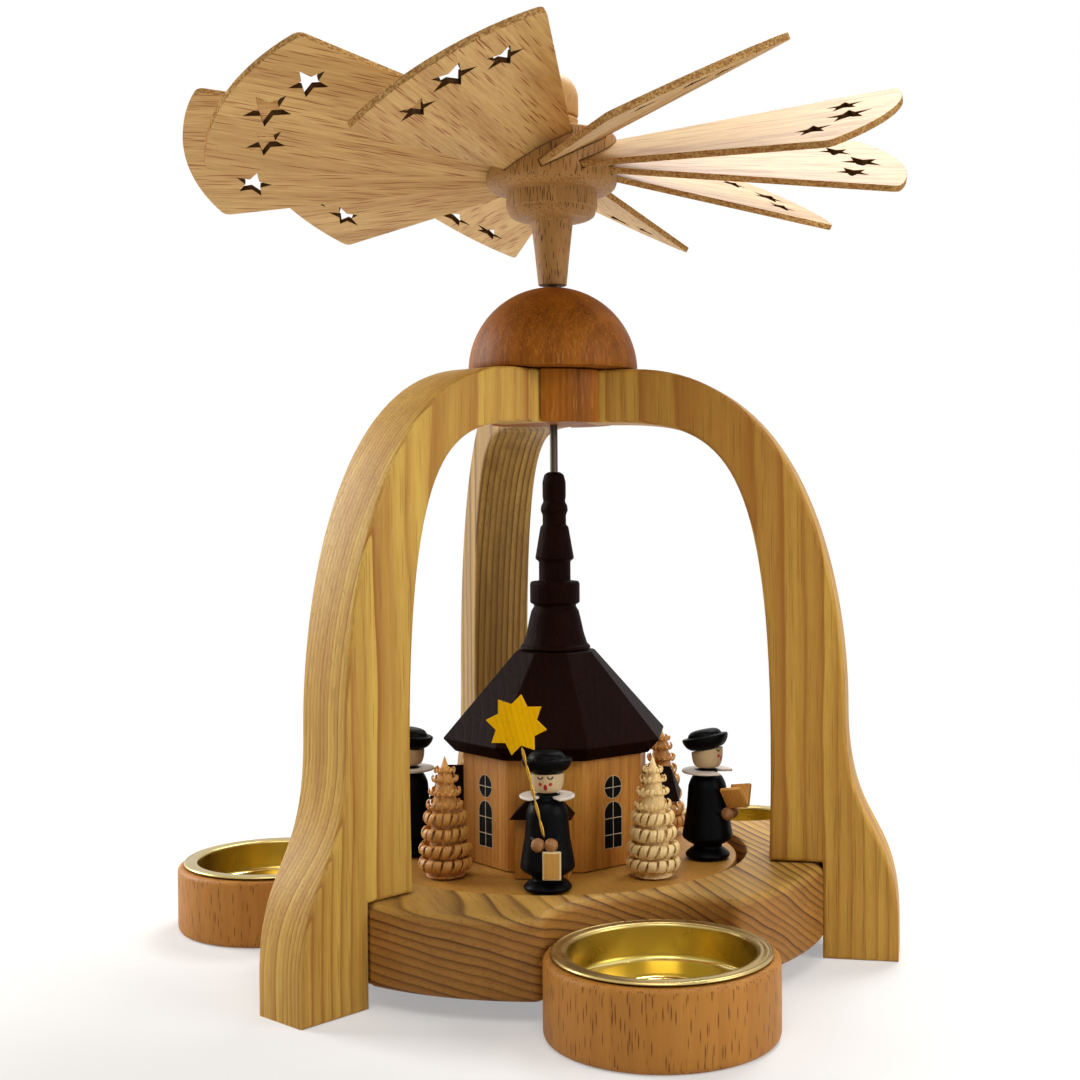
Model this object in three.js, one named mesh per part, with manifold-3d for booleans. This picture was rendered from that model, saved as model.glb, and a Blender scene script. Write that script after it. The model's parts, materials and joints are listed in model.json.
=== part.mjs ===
// Candle carousel. Three ash arches stand over a scalloped base board with three tealight cups.
// Warm air turns ten pitched, star-pierced blades, and the spindle below them carries a round
// table with an eight-sided church, four curled trees, three carol singers and a star bearer.
// Millimetres, +Z up. Every piece is modelled about the spindle's axis, and the finished group is
// moved so that its origin lies under the middle of its bounding box, on the floor.

import * as THREE from 'three';
import { ConvexGeometry } from 'three/addons/geometries/ConvexGeometry.js';
import { mergeVertices } from 'three/addons/utils/BufferGeometryUtils.js';
import Module from 'manifold-3d';

const wasm = await Module();
wasm.setup();

// Clearances and cutters
const FIT = 0.3; // line left between two pieces that are glued or laid together
const RUN = 0.6; // play round the spindle where it turns in a fixed piece
const OVERRUN = 5; // how far a cutter runs past the face that it opens
const WELD = 0.0001; // points closer than this are one point

// How the arches and the cups share the circle, and where the turning parts rest
const ARCH_COUNT = 3;
const BACK_ARCH_ANGLE = 90;
const ROTOR_ANGLE = 23;
const TABLE_ANGLE = -113.5;

// Base board
const BASE_RIM = 20.5; // from the table's recess out to the rim
const BASE_LIFT = 5;
const BASE_THICKNESS = 18.2;
const BASE_EDGE = 2;
const HORN_ROUND = 3;
const SEAT_INSET = 1; // how far an arch's foot is let into the rim
const RECESS_EASE = 0.6;
const RECESS_WALL = 3.5; // wood left between the recess and a cup's bite

// Arches
const ARCH_THICKNESS = 16;
const ARCH_DEPTH = 13.1;
const ARCH_LET_IN = 6; // into the core
const ARCH_CLEARANCE = 6.8; // from the recess out to the inside of an arch
const FOOT_DEPTH = 18.2;
const FOOT_SQUARE = 7.5;
const FOOT_FLARE = 12.5;
const FOOT_PULL = 27.6;
const WAIST_HEIGHT = 60.4;
const WAIST_PULL_UP = 29.6;
const WAIST_PULL_DOWN = 31.3;
const SHOULDER_PULL = 43;
const SPAN_PULL = 34.1;
const HAUNCH_BULGE = 3.2;

// Core and dome at the crown
const CROWN_CLEARANCE = 11.9; // from the top of the spire to the underside of the crown
const CORE_RADIUS = 16;
const DOME_RADIUS = 21.5;

// Tealight cups and their liners
const WELL_RADIUS = 19.8; // takes a tealight of 38 mm with a little room round it
const CUP_WALL = 4.3;
const CUP_HEIGHT = 16.9;
const CUP_FOOT_ROUND = 1.8;
const CUP_RIM_ROUND = 0.8;
const LINER_WALL = 0.6;
const LINER_DEPTH = 13;
const LINER_FLANGE = 3.1; // width of the brass rim that lies on the cup
const LINER_LIP = 0.9;
const LINER_BEAD = 0.35;
const LINER_FLOOR_ROUND = 1.6;

// Spindle and its bearing
const SPINDLE_RADIUS = 1;
const SPINDLE_POINT = 2.4;
const SPINDLE_IN_HUB = 22;
const BEARING_RADIUS = 4;
const BEARING_HEIGHT = 5;
const BEARING_RIM = 1.2;
const BEARING_PIT_DEPTH = 2.6;

// Turned rotor hub, from the dome upwards
const STEM_GAP = 0.5;
const STEM_FOOT_RADIUS = 3.6;
const STEM_TOP_RADIUS = 5.2;
const STEM_HEIGHT = 13.8;
const BOWL_HEIGHT = 3.8;
const BEAD_GROOVE = 0.5;
const BAND_RADIUS = 11.6;
const BAND_HEIGHT = 3.6;
const OVOLO_HEIGHT = 4.6;
const DRUM_RADIUS = 16.6;
const DRUM_HEIGHT = 11.1;
const DRUM_EASE = 0.5;

// Knob on top
const KNOB_RADIUS = 6.9;
const KNOB_COLLAR_HEIGHT = 2.9;
const KNOB_GROOVE = 0.5;
const KNOB_SKIRT = 4.4;
const KNOB_NECK_RADIUS = 2.4;
const KNOB_NECK_HEIGHT = 1.8;
const KNOB_SPIGOT = 3;

// Blades
const BLADE_COUNT = 10;
const BLADE_PITCH_ANGLE = 26.5;
const BLADE_THICKNESS = 1.6;
const BLADE_LET_IN = 3;
const BLADE_ROOT_HALF = 9.4;
const BLADE_TIP_HALF = 23.5;
const BLADE_REACH = 91;
const BLADE_TIP_CURVE = 46;
const BLADE_CORNER = 2;
const TIP_STAR_RADIUS = 5.7;
const TIP_STAR_SETBACK = 10.5;
const SIDE_STAR_RADIUS = 4.7;
const SIDE_STAR_SETBACK = 15.3;
const SIDE_STAR_SPREAD = 10.6;
const CUT_STAR_WAIST_SHARE = 0.42;
const CUT_STAR_POINT_COUNT = 5;

// Turning table
const TABLE_MARGIN = 0.65; // from the coats of the figures out to the table's edge
const TABLE_THICKNESS = 5;
const TABLE_SINK = 1.5;
const TABLE_GAP = 2.5;
const TABLE_CLEARANCE = 1;
const TABLE_EASE = 0.5;

// Church
const CHURCH_SIDE_COUNT = 8;
const CHURCH_RADIUS = 24.2;
const WALL_HEIGHT = 27;
const SOFFIT_WIDTH = 2;
const EAVE_FLARE = 3.2;
const EAVE_RISE = 3.4;
const ROOF_RISE = 21.2;
const ROOF_LEDGE = 1.45; // round the foot of the spire
const PORCH_HALF = 6.5;
const PORCH_DEPTH = 7;
const PORCH_HEIGHT = 14.2;
const PORCH_EAVE = 1;
const PORCH_FRONT_EAVE = 2.4;
const PORCH_HIP = 2.4;
const PORCH_ROOF_RISE = 7.8;
const SPIRE_HEIGHT = 45.3;
const SPIRE_RADIUS = 8.95;
// Turned profile of the spire, from its lip up to the bead at the top: radius and height
const SPIRE_SHARES = [
  [1, 0],
  [1, 0.018],
  [0.92, 0.03],
  [0.82, 0.09],
  [0.745, 0.16],
  [0.68, 0.215],
  [0.6, 0.24],
  [0.6, 0.25],
  [0.71, 0.262],
  [0.71, 0.37],
  [0.67, 0.382],
  [0.452, 0.386],
  [0.452, 0.494],
  [0.555, 0.51],
  [0.4, 0.69],
  [0.335, 0.7],
  [0.335, 0.757],
  [0.39, 0.78],
  [0.37, 0.81],
  [0.308, 0.83],
  [0.333, 0.86],
  [0.333, 0.94],
  [0.28, 0.982],
];

// Curled trees: a turned stem whose shavings stay on as rings
const TREE_HEIGHT = 29;
const TREE_RADIUS = 6.4;
const TREE_STUB_RADIUS = 4.6;
const TREE_STUB_HEIGHT = 0.8;
const TREE_STAND_OFF = 7.2; // from the church wall to the nearest curl
const TREE_CURL_COUNT = 8;
const TREE_ROLL_COUNT = 4; // rings, from the bottom, that are fat rolls
const CURL_SLIT_SHARE = 0.74; // how far a slit between two curls reaches out, of the ring's width
// Rings from the bottom up: height, reach, half height, and the stem's radius above the ring
const TREE_RING_SHARES = [
  [0.083, 1, 0.054, 0.66],
  [0.205, 0.97, 0.056, 0.6],
  [0.322, 0.9, 0.056, 0.54],
  [0.45, 0.84, 0.058, 0.42],
  [0.582, 0.76, 0.03, 0.36],
  [0.686, 0.69, 0.026, 0.29],
  [0.79, 0.56, 0.02, 0.23],
  [0.876, 0.4, 0.016, 0.17],
];

// Singers and star bearer, all turned alike
const FIGURE_STAND_OFF = 3.3; // from a porch to the coat in front of it
const COAT_RADIUS = 6.35;
const COAT_HEIGHT = 21.2;
// Turned profile of the foot, the legs and the coat up to the shoulder: radius and height
const COAT_SHARES = [
  [0.8, 0],
  [0.88, 0.03],
  [0.88, 0.055],
  [0.72, 0.1],
  [0.57, 0.125],
  [0.57, 0.17],
  [0.78, 0.19],
  [1, 0.245],
  [1, 0.28],
  [0.83, 0.58],
  [0.75, 0.87],
  [0.6, 0.97],
];
const NECK_RADIUS = 2.6;
const NECK_HEIGHT = 1.3;
const SHOULDER_SPREAD = 3.5;
const SHOULDER_DROP = 2.6;
const ELBOW_SPREAD = 3.95;
const ELBOW_DROP = 8.2;
const ARM_RADIUS = 1.35;
const HAND_RADIUS = 1.6;
const HAND_SPREAD = 1.5;
const HAND_REACH = 6.2;
const HAND_HEIGHT = 11.2;
const COLLAR_RADIUS = 6.4;
const COLLAR_THICKNESS = 0.7;
const COLLAR_ANGLE = 33; // either side of the front, where the collar is open
const HEAD_RADIUS = 3.95;
const HEAD_HEIGHT = 4.4;
const HEAD_BALL_HEIGHT = 6.6; // of the turned ball, before its top is cut for the hat
const HEAD_SHARES = [
  [0.71, 0],
  [0.88, 0.13],
  [0.97, 0.33],
  [1, 0.55],
  [0.98, 1],
];
const HAT_RADIUS = 5.9;
const HAT_HEIGHT = 4.8;
const HAT_SHARES = [
  [0.67, 0],
  [0.85, 0.16],
  [0.96, 0.4],
  [1, 0.6],
  [0.94, 0.67],
  [0.75, 0.63],
  [0.7, 0.8],
  [0.58, 0.94],
  [0.38, 1],
];

// What the figures hold
const BOOK_LENGTH = 5.4;
const BOOK_HEIGHT = 5.8;
const BOOK_BOARD = 1;
const BOOK_SPINE = 0.8; // half the width of the flat back that lies on the hands
const BOOK_OPEN_ANGLE = 31; // that each board leans out from upright
const BOOK_TILT_ANGLE = 8;
const BOOK_INSET = 0.3; // from the line of the hands in to the book
const SHEET_WIDTH = 4.2;
const SHEET_HEIGHT = 6.5;
const SHEET_THICKNESS = 1;
const SHEET_SHIFT = 1.75; // towards the left hand
const SHEET_RISE = 0.35; // how far the sheet reaches up between the hands
const ROD_RADIUS = 0.46;
const ROD_OUT = 0.2;
const ROD_LEAN_ANGLE = 13.4;
const ROD_TURN_COUNT = 5;
const ROD_WAIST_SHARE = 0.55;
const STAR_RADIUS = 7;
const STAR_WAIST = 4.8;
const STAR_THICKNESS = 1.2;
const STAR_POINT_COUNT = 8;
const STAR_RISE = 26.6; // from the lower end of the rod up to the middle of the star

// Facets round a turned piece, and steps along an arc
const FACET_COUNT = 20;
const BIG_FACET_COUNT = 30;
const SMALL_FACET_COUNT = 12;
const TINY_FACET_COUNT = 8;
const ARC_STEP_COUNT = 9;
const SMALL_ARC_STEP_COUNT = 3;

const radians = THREE.MathUtils.degToRad;

const finish = (color, roughness, metalness = 0) => new THREE.MeshStandardMaterial({ color, roughness, metalness });
const ash = () => finish(0xd8b47c, 0.5);
const beech = () => finish(0xc58f5c, 0.55);
const stainedBeech = () => finish(0xa9683a, 0.45);
const plywood = () => finish(0xd9b583, 0.6);
const paleWood = () => finish(0xc79a62, 0.6);
const shavings = () => finish(0xd9ae72, 0.65);
const darkStain = () => finish(0x2c1814, 0.5);
const blackLacquer = () => finish(0x0c0c0e, 0.35);
const whitePaint = () => finish(0xe9e6e1, 0.5);
const yellowStain = () => finish(0xf0bd17, 0.5);
const brass = () => finish(0xb59a45, 0.25, 1);
const steel = () => finish(0x8e8f92, 0.3, 1);

// Six times the volume inside a closed mesh, negative where its faces point inwards.
function signedVolume(position, index) {
  const a = new THREE.Vector3();
  const b = new THREE.Vector3();
  const c = new THREE.Vector3();
  let sum = 0;
  for (let i = 0; i < index.length; i += 3) {
    a.fromBufferAttribute(position, index[i]);
    b.fromBufferAttribute(position, index[i + 1]);
    c.fromBufferAttribute(position, index[i + 2]);
    sum += a.dot(b.cross(c));
  }
  return sum;
}

// The same shape with shared points merged, collapsed triangles left out and faces turned outwards.
function closed(geometry) {
  const bare = geometry.clone();
  bare.deleteAttribute('normal');
  bare.deleteAttribute('uv');
  const merged = mergeVertices(bare, WELD);
  const index = merged.index.array;
  const kept = [];
  for (let i = 0; i < index.length; i += 3) {
    const [a, b, c] = [index[i], index[i + 1], index[i + 2]];
    if (a !== b && b !== c && c !== a) kept.push(a, b, c);
  }
  if (signedVolume(merged.attributes.position, kept) < 0) kept.reverse();
  const result = new THREE.BufferGeometry();
  result.setAttribute('position', merged.attributes.position);
  result.setIndex(kept);
  return result;
}

function solidOf(geometry) {
  const shape = closed(geometry);
  const vertProperties = new Float32Array(shape.attributes.position.array);
  const triVerts = new Uint32Array(shape.index.array);
  return new wasm.Manifold(new wasm.Mesh({ numProp: 3, vertProperties, triVerts }));
}

function geometryOf(solid) {
  const mesh = solid.getMesh();
  const geometry = new THREE.BufferGeometry();
  geometry.setAttribute('position', new THREE.BufferAttribute(mesh.vertProperties, 3));
  geometry.setIndex(new THREE.BufferAttribute(mesh.triVerts, 1));
  return geometry;
}

function cut(body, ...tools) {
  return geometryOf(tools.reduce((rest, tool) => rest.subtract(solidOf(tool)), solidOf(body)));
}

function join(first, ...others) {
  return geometryOf(others.reduce((whole, other) => whole.add(solidOf(other)), solidOf(first)));
}

// Points of an arc from one angle to another, both ends included.
function arc(x, y, radius, from, to, steps) {
  return Array.from({ length: steps + 1 }, (_, i) => {
    const angle = from + ((to - from) * i) / steps;
    return new THREE.Vector2(x + radius * Math.cos(angle), y + radius * Math.sin(angle));
  });
}

// An outline without points that repeat the one before them.
function outline(points) {
  const spread = points.filter((p, i) => p.distanceTo(points[(i + 1) % points.length]) > WELD);
  return new THREE.Shape(spread);
}

// Revolves a profile of [radius, height] points about the vertical axis, starting at angle 0.
function turned(profile, facets) {
  const points = profile.map(([radius, height]) => new THREE.Vector2(radius, height));
  return new THREE.LatheGeometry(points, facets, Math.PI / 2).rotateX(Math.PI / 2);
}

// A profile of shares scaled to a radius and a height, lifted to a level.
const scaled = (shares, radius, height, level = 0) => shares.map(([r, z]) => [r * radius, level + z * height]);

// A round bore or pin from one height to another.
const rod = (radius, bottom, top, facets = SMALL_FACET_COUNT) =>
  turned([[0, bottom], [radius, bottom], [radius, top], [0, top]], facets);

// A plate of even thickness, with its middle plane at height 0.
function plate(shape, thickness) {
  return new THREE.ExtrudeGeometry(shape, { depth: thickness, bevelEnabled: false }).translate(0, 0, -thickness / 2);
}

function piece(parent, name, geometry, material) {
  const shape = closed(geometry).toNonIndexed();
  shape.computeVertexNormals();
  const mesh = new THREE.Mesh(shape, material);
  mesh.name = name;
  parent.add(mesh);
  return mesh;
}

function nest(parent, turn = 0, x = 0, z = 0) {
  const spun = new THREE.Group();
  spun.rotation.z = radians(turn);
  const placed = new THREE.Group();
  placed.position.set(x, 0, z);
  spun.add(placed);
  parent.add(spun);
  return placed;
}

// Rings that pieces share, worked out from the church wall outwards
const halfFace = Math.PI / CHURCH_SIDE_COUNT;
const wallDistance = CHURCH_RADIUS * Math.cos(halfFace);
const porchFront = wallDistance + PORCH_DEPTH;
const figureDistance = porchFront + FIGURE_STAND_OFF + COAT_RADIUS;
const treeDistance = wallDistance + TREE_STAND_OFF + TREE_RADIUS;
const tableRadius = figureDistance + COAT_RADIUS + TABLE_MARGIN;
const recessRadius = tableRadius + TABLE_GAP;
const baseRadius = recessRadius + BASE_RIM;
const seatRadius = baseRadius - SEAT_INSET;
const linerRadius = WELL_RADIUS + LINER_WALL;
const cupRadius = linerRadius + FIT + CUP_WALL;
const cupReach = recessRadius + RECESS_WALL + FIT + cupRadius;

// Levels that pieces share, from the floor upwards
const baseTop = BASE_LIFT + BASE_THICKNESS;
const tableTop = baseTop - TABLE_SINK;
const tableBottom = tableTop - TABLE_THICKNESS;
const recessFloor = tableBottom - TABLE_CLEARANCE;
const displayLevel = tableTop + FIT;
const wallTop = displayLevel + WALL_HEIGHT;
const roofLevel = wallTop + FIT;
const roofTop = roofLevel + EAVE_RISE + ROOF_RISE;
const spireLevel = roofTop + FIT;
const springLevel = spireLevel + SPIRE_HEIGHT + CROWN_CLEARANCE;
const archTop = springLevel + ARCH_DEPTH;
const domeLevel = archTop + FIT;
const hubLevel = domeLevel + DOME_RADIUS + STEM_GAP;

const bore = SPINDLE_RADIUS + FIT;
const runningBore = SPINDLE_RADIUS + RUN;
const arches = Array.from({ length: ARCH_COUNT }, (_, i) => BACK_ARCH_ANGLE + (i * 360) / ARCH_COUNT);
const cups = arches.map((turn) => turn + 180 / ARCH_COUNT);

const model = new THREE.Group();
const stand = new THREE.Group();
const carousel = new THREE.Group();
model.add(stand, carousel);

// Base board: a round board with a bite for each cup. Each horn between rim and bite is rounded by
// an arc that touches both, so its centre lies on a circle about the axis and on one about the cup.
function baseShape() {
  const bite = cupRadius + FIT;
  const inner = baseRadius - HORN_ROUND;
  const outer = bite + HORN_ROUND;
  const angleFrom = (near, far) =>
    Math.acos((near * near + cupReach * cupReach - far * far) / (2 * near * cupReach));
  const horn = angleFrom(inner, outer);
  const sweep = angleFrom(outer, inner);
  const points = [];
  cups.forEach((turn) => {
    const cup = radians(turn);
    const next = cup + (2 * Math.PI) / ARCH_COUNT;
    const before = [inner * Math.cos(cup - horn), inner * Math.sin(cup - horn)];
    const after = [inner * Math.cos(cup + horn), inner * Math.sin(cup + horn)];
    const centre = [cupReach * Math.cos(cup), cupReach * Math.sin(cup)];
    points.push(...arc(...before, HORN_ROUND, cup - horn, cup + sweep, SMALL_ARC_STEP_COUNT));
    points.push(...arc(...centre, bite, cup + Math.PI + sweep, cup + Math.PI - sweep, ARC_STEP_COUNT));
    points.push(...arc(...after, HORN_ROUND, cup - sweep, cup + horn, SMALL_ARC_STEP_COUNT));
    points.push(...arc(0, 0, baseRadius, cup + horn, next - horn, ARC_STEP_COUNT));
  });
  return outline(points);
}

const board = new THREE.ExtrudeGeometry(baseShape(), {
  depth: BASE_THICKNESS - 2 * BASE_EDGE,
  bevelThickness: BASE_EDGE,
  bevelSize: BASE_EDGE,
  bevelOffset: -BASE_EDGE,
  bevelSegments: 2,
}).translate(0, 0, BASE_LIFT + BASE_EDGE);
const recess = turned([
  [0, recessFloor],
  [recessRadius, recessFloor],
  [recessRadius, baseTop - RECESS_EASE],
  [recessRadius + RECESS_EASE, baseTop],
  [recessRadius + RECESS_EASE, baseTop + OVERRUN],
  [0, baseTop + OVERRUN],
], BIG_FACET_COUNT);
const bearingBore = rod(BEARING_RADIUS + FIT, recessFloor - BEARING_HEIGHT - FIT, recessFloor + OVERRUN);
const footSeats = arches.map((turn) => {
  const depth = SEAT_INSET + OVERRUN;
  const seat = new THREE.BoxGeometry(depth, ARCH_THICKNESS + 2 * FIT, BASE_THICKNESS + 2 * OVERRUN);
  return seat.translate(seatRadius + depth / 2, 0, BASE_LIFT + BASE_THICKNESS / 2).rotateZ(radians(turn));
});
piece(stand, 'base_board', cut(board, recess, bearingBore, ...footSeats), ash());

piece(stand, 'bearing_cup', turned([
  [0, recessFloor - BEARING_HEIGHT],
  [BEARING_RADIUS, recessFloor - BEARING_HEIGHT],
  [BEARING_RADIUS, recessFloor],
  [BEARING_RADIUS - BEARING_RIM, recessFloor],
  [0, recessFloor - BEARING_PIT_DEPTH],
], SMALL_FACET_COUNT), brass());

// Arch: one flat board. The outside falls from the crown over the shoulder to a waist and flares
// to the foot, and the inside is one long curve down to the base board, which it laps over.
const archRoot = CORE_RADIUS - ARCH_LET_IN;
function archShape() {
  const footRadius = seatRadius + FIT + FOOT_DEPTH;
  const waistRadius = footRadius - FOOT_FLARE;
  const lapLevel = baseTop + FIT;
  const innerFoot = recessRadius + ARCH_CLEARANCE;
  const shape = new THREE.Shape();
  shape.moveTo(archRoot, archTop);
  shape.lineTo(archRoot, springLevel);
  shape.bezierCurveTo(
    archRoot + SPAN_PULL, springLevel,
    innerFoot + HAUNCH_BULGE, springLevel,
    innerFoot, lapLevel,
  );
  shape.lineTo(seatRadius + FIT, lapLevel);
  shape.lineTo(seatRadius + FIT, 0);
  shape.lineTo(footRadius, 0);
  shape.lineTo(footRadius, FOOT_SQUARE);
  shape.bezierCurveTo(
    footRadius, FOOT_SQUARE + FOOT_PULL,
    waistRadius, WAIST_HEIGHT - WAIST_PULL_DOWN,
    waistRadius, WAIST_HEIGHT,
  );
  shape.bezierCurveTo(
    waistRadius, WAIST_HEIGHT + WAIST_PULL_UP,
    DOME_RADIUS + SHOULDER_PULL, archTop,
    DOME_RADIUS, archTop,
  );
  return shape;
}

['arch_back', 'arch_left', 'arch_right'].forEach((name, i) => {
  const arch = new THREE.ExtrudeGeometry(archShape(), {
    depth: ARCH_THICKNESS,
    bevelEnabled: false,
    curveSegments: ARC_STEP_COUNT + SMALL_ARC_STEP_COUNT,
  });
  arch.rotateX(Math.PI / 2).translate(0, ARCH_THICKNESS / 2, 0);
  piece(stand, name, arch, ash()).rotation.z = radians(arches[i]);
});

// Core: a turned block that the three arch ends are let into, under a half-ball dome
const coreBlock = turned([
  [runningBore, springLevel],
  [CORE_RADIUS, springLevel],
  [CORE_RADIUS, archTop],
  [runningBore, archTop],
  [runningBore, springLevel],
], BIG_FACET_COUNT);
const archSlots = arches.map((turn) => {
  const depth = ARCH_LET_IN + FIT + OVERRUN;
  const slot = new THREE.BoxGeometry(depth, ARCH_THICKNESS + 2 * FIT, ARCH_DEPTH + 2 * OVERRUN);
  return slot.translate(archRoot - FIT + depth / 2, 0, springLevel + ARCH_DEPTH / 2).rotateZ(radians(turn));
});
piece(stand, 'arch_core', cut(coreBlock, ...archSlots), stainedBeech());

const domeArc = arc(0, domeLevel, DOME_RADIUS, 0, Math.acos(runningBore / DOME_RADIUS), ARC_STEP_COUNT);
piece(stand, 'dome_cap', turned([
  [runningBore, domeLevel],
  ...domeArc.map((p) => [p.x, p.y]),
  [runningBore, domeLevel],
], FACET_COUNT), stainedBeech());

// Candle cups: a turned beech cup on the floor in each bite, with a spun brass liner let into it
const linerFloor = CUP_HEIGHT + FIT - LINER_DEPTH;
const cupProfile = [
  [0, 0],
  [cupRadius - CUP_FOOT_ROUND, 0],
  [cupRadius, CUP_FOOT_ROUND],
  [cupRadius, CUP_HEIGHT - CUP_RIM_ROUND],
  [cupRadius - CUP_RIM_ROUND, CUP_HEIGHT],
  [linerRadius + FIT, CUP_HEIGHT],
  [linerRadius + FIT, linerFloor - FIT],
  [0, linerFloor - FIT],
];
const flangeLevel = CUP_HEIGHT + FIT;
const flangeRadius = linerRadius + LINER_FLANGE;
const wellFloor = linerFloor + LINER_WALL;
const linerProfile = [
  [0, linerFloor],
  [linerRadius - LINER_FLOOR_ROUND, linerFloor],
  [linerRadius, linerFloor + LINER_FLOOR_ROUND],
  [linerRadius, flangeLevel],
  [flangeRadius, flangeLevel],
  [flangeRadius, flangeLevel + LINER_LIP / 2],
  [flangeRadius - LINER_LIP / 2, flangeLevel + LINER_LIP],
  [WELL_RADIUS + LINER_LIP, flangeLevel + LINER_LIP],
  [WELL_RADIUS, flangeLevel],
  [WELL_RADIUS, wellFloor + LINER_FLOOR_ROUND],
  [WELL_RADIUS - LINER_FLOOR_ROUND, wellFloor],
  [WELL_RADIUS / 2 + LINER_BEAD, wellFloor],
  [WELL_RADIUS / 2, wellFloor + LINER_BEAD],
  [WELL_RADIUS / 2 - LINER_BEAD, wellFloor],
  [0, wellFloor],
];
['front', 'right', 'left'].forEach((side, i) => {
  // cups run on from the one between the back and left arches, so the front one is second
  const place = nest(stand, cups[(i + 1) % ARCH_COUNT], cupReach);
  piece(place, `candle_cup_${side}`, turned(cupProfile, FACET_COUNT), beech());
  piece(place, `brass_liner_${side}`, turned(linerProfile, FACET_COUNT), brass());
});

// Rotor: hub, knob and blades, set on the spindle above the dome
const bandLevel = STEM_HEIGHT + BOWL_HEIGHT + BEAD_GROOVE;
const drumLevel = bandLevel + BAND_HEIGHT + OVOLO_HEIGHT;
const drumTop = drumLevel + DRUM_HEIGHT;
const bladeLevel = drumLevel + DRUM_HEIGHT / 2;
const rotor = nest(carousel, ROTOR_ANGLE, 0, hubLevel);

// A star outline about a point, with one tip towards the hub.
function starPoints(x, y, radius, waist, tips) {
  return Array.from({ length: 2 * tips }, (_, i) => {
    const angle = Math.PI - (Math.PI * i) / tips;
    const reach = i % 2 ? waist : radius;
    return new THREE.Vector2(x + reach * Math.cos(angle), y + reach * Math.sin(angle));
  });
}

// Blade outline, grown all round where it is used to cut its own slot.
function bladeShape(grow) {
  const rootX = DRUM_RADIUS - BLADE_LET_IN - grow;
  const rootY = BLADE_ROOT_HALF + grow;
  const arcX = BLADE_REACH - BLADE_TIP_CURVE;
  const half = Math.asin(BLADE_TIP_HALF / BLADE_TIP_CURVE);
  const trim = BLADE_CORNER / BLADE_TIP_CURVE;
  const tip = arc(arcX, 0, BLADE_TIP_CURVE + grow, -half + trim, half - trim, ARC_STEP_COUNT);
  const corner = new THREE.Vector2(arcX + BLADE_TIP_CURVE * Math.cos(half), BLADE_TIP_HALF + grow);
  const side = corner.clone().sub(new THREE.Vector2(rootX, rootY)).setLength(BLADE_CORNER);
  const shape = new THREE.Shape();
  shape.moveTo(rootX, -rootY);
  shape.lineTo(corner.x - side.x, -corner.y + side.y);
  shape.quadraticCurveTo(corner.x, -corner.y, tip[0].x, tip[0].y);
  tip.slice(1).forEach((p) => shape.lineTo(p.x, p.y));
  shape.quadraticCurveTo(corner.x, corner.y, corner.x - side.x, corner.y - side.y);
  shape.lineTo(rootX, rootY);
  return shape;
}

function bladeGeometry() {
  const shape = bladeShape(0);
  const tipStar = [BLADE_REACH - TIP_STAR_SETBACK, 0, TIP_STAR_RADIUS];
  const sideX = BLADE_REACH - SIDE_STAR_SETBACK;
  const sideStars = [-SIDE_STAR_SPREAD, SIDE_STAR_SPREAD].map((y) => [sideX, y, SIDE_STAR_RADIUS]);
  shape.holes = [tipStar, ...sideStars].map(([x, y, radius]) =>
    new THREE.Path(starPoints(x, y, radius, radius * CUT_STAR_WAIST_SHARE, CUT_STAR_POINT_COUNT)));
  const blade = new THREE.ExtrudeGeometry(shape, {
    depth: BLADE_THICKNESS,
    bevelEnabled: false,
    curveSegments: 2,
  });
  return blade.translate(0, 0, -BLADE_THICKNESS / 2);
}

const bladeTurns = Array.from({ length: BLADE_COUNT }, (_, i) => (i * 360) / BLADE_COUNT);
const bladeSlots = bladeTurns.map((turn) =>
  plate(bladeShape(FIT), BLADE_THICKNESS + 2 * FIT)
    .rotateX(radians(BLADE_PITCH_ANGLE))
    .rotateZ(radians(turn))
    .translate(0, 0, bladeLevel));
const bowlArc = arc(STEM_TOP_RADIUS, STEM_HEIGHT + BOWL_HEIGHT, 1, -Math.PI / 2, 0, SMALL_ARC_STEP_COUNT).map((p) => [
  STEM_TOP_RADIUS + (p.x - STEM_TOP_RADIUS) * (BAND_RADIUS - BEAD_GROOVE - STEM_TOP_RADIUS),
  STEM_HEIGHT + BOWL_HEIGHT + (p.y - STEM_HEIGHT - BOWL_HEIGHT) * BOWL_HEIGHT,
]);
const ovoloArc = arc(0, 0, 1, -Math.PI / 2, 0, SMALL_ARC_STEP_COUNT).map((p) => [
  BAND_RADIUS + p.x * (DRUM_RADIUS - BAND_RADIUS),
  drumLevel + p.y * OVOLO_HEIGHT,
]);
const hubBlock = turned([
  [bore, 0],
  [STEM_FOOT_RADIUS, 0],
  [STEM_TOP_RADIUS, STEM_HEIGHT],
  ...bowlArc.slice(1),
  [BAND_RADIUS, bandLevel],
  ...ovoloArc,
  [DRUM_RADIUS, drumTop - DRUM_EASE],
  [DRUM_RADIUS - DRUM_EASE, drumTop],
  [KNOB_NECK_RADIUS + FIT, drumTop],
  [KNOB_NECK_RADIUS + FIT, drumTop - KNOB_SPIGOT - FIT],
  [0, drumTop - KNOB_SPIGOT - FIT],
  [0, SPINDLE_IN_HUB + FIT],
  [bore, SPINDLE_IN_HUB + FIT],
  [bore, 0],
], BIG_FACET_COUNT);
piece(rotor, 'rotor_hub', cut(hubBlock, ...bladeSlots), beech());

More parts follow.
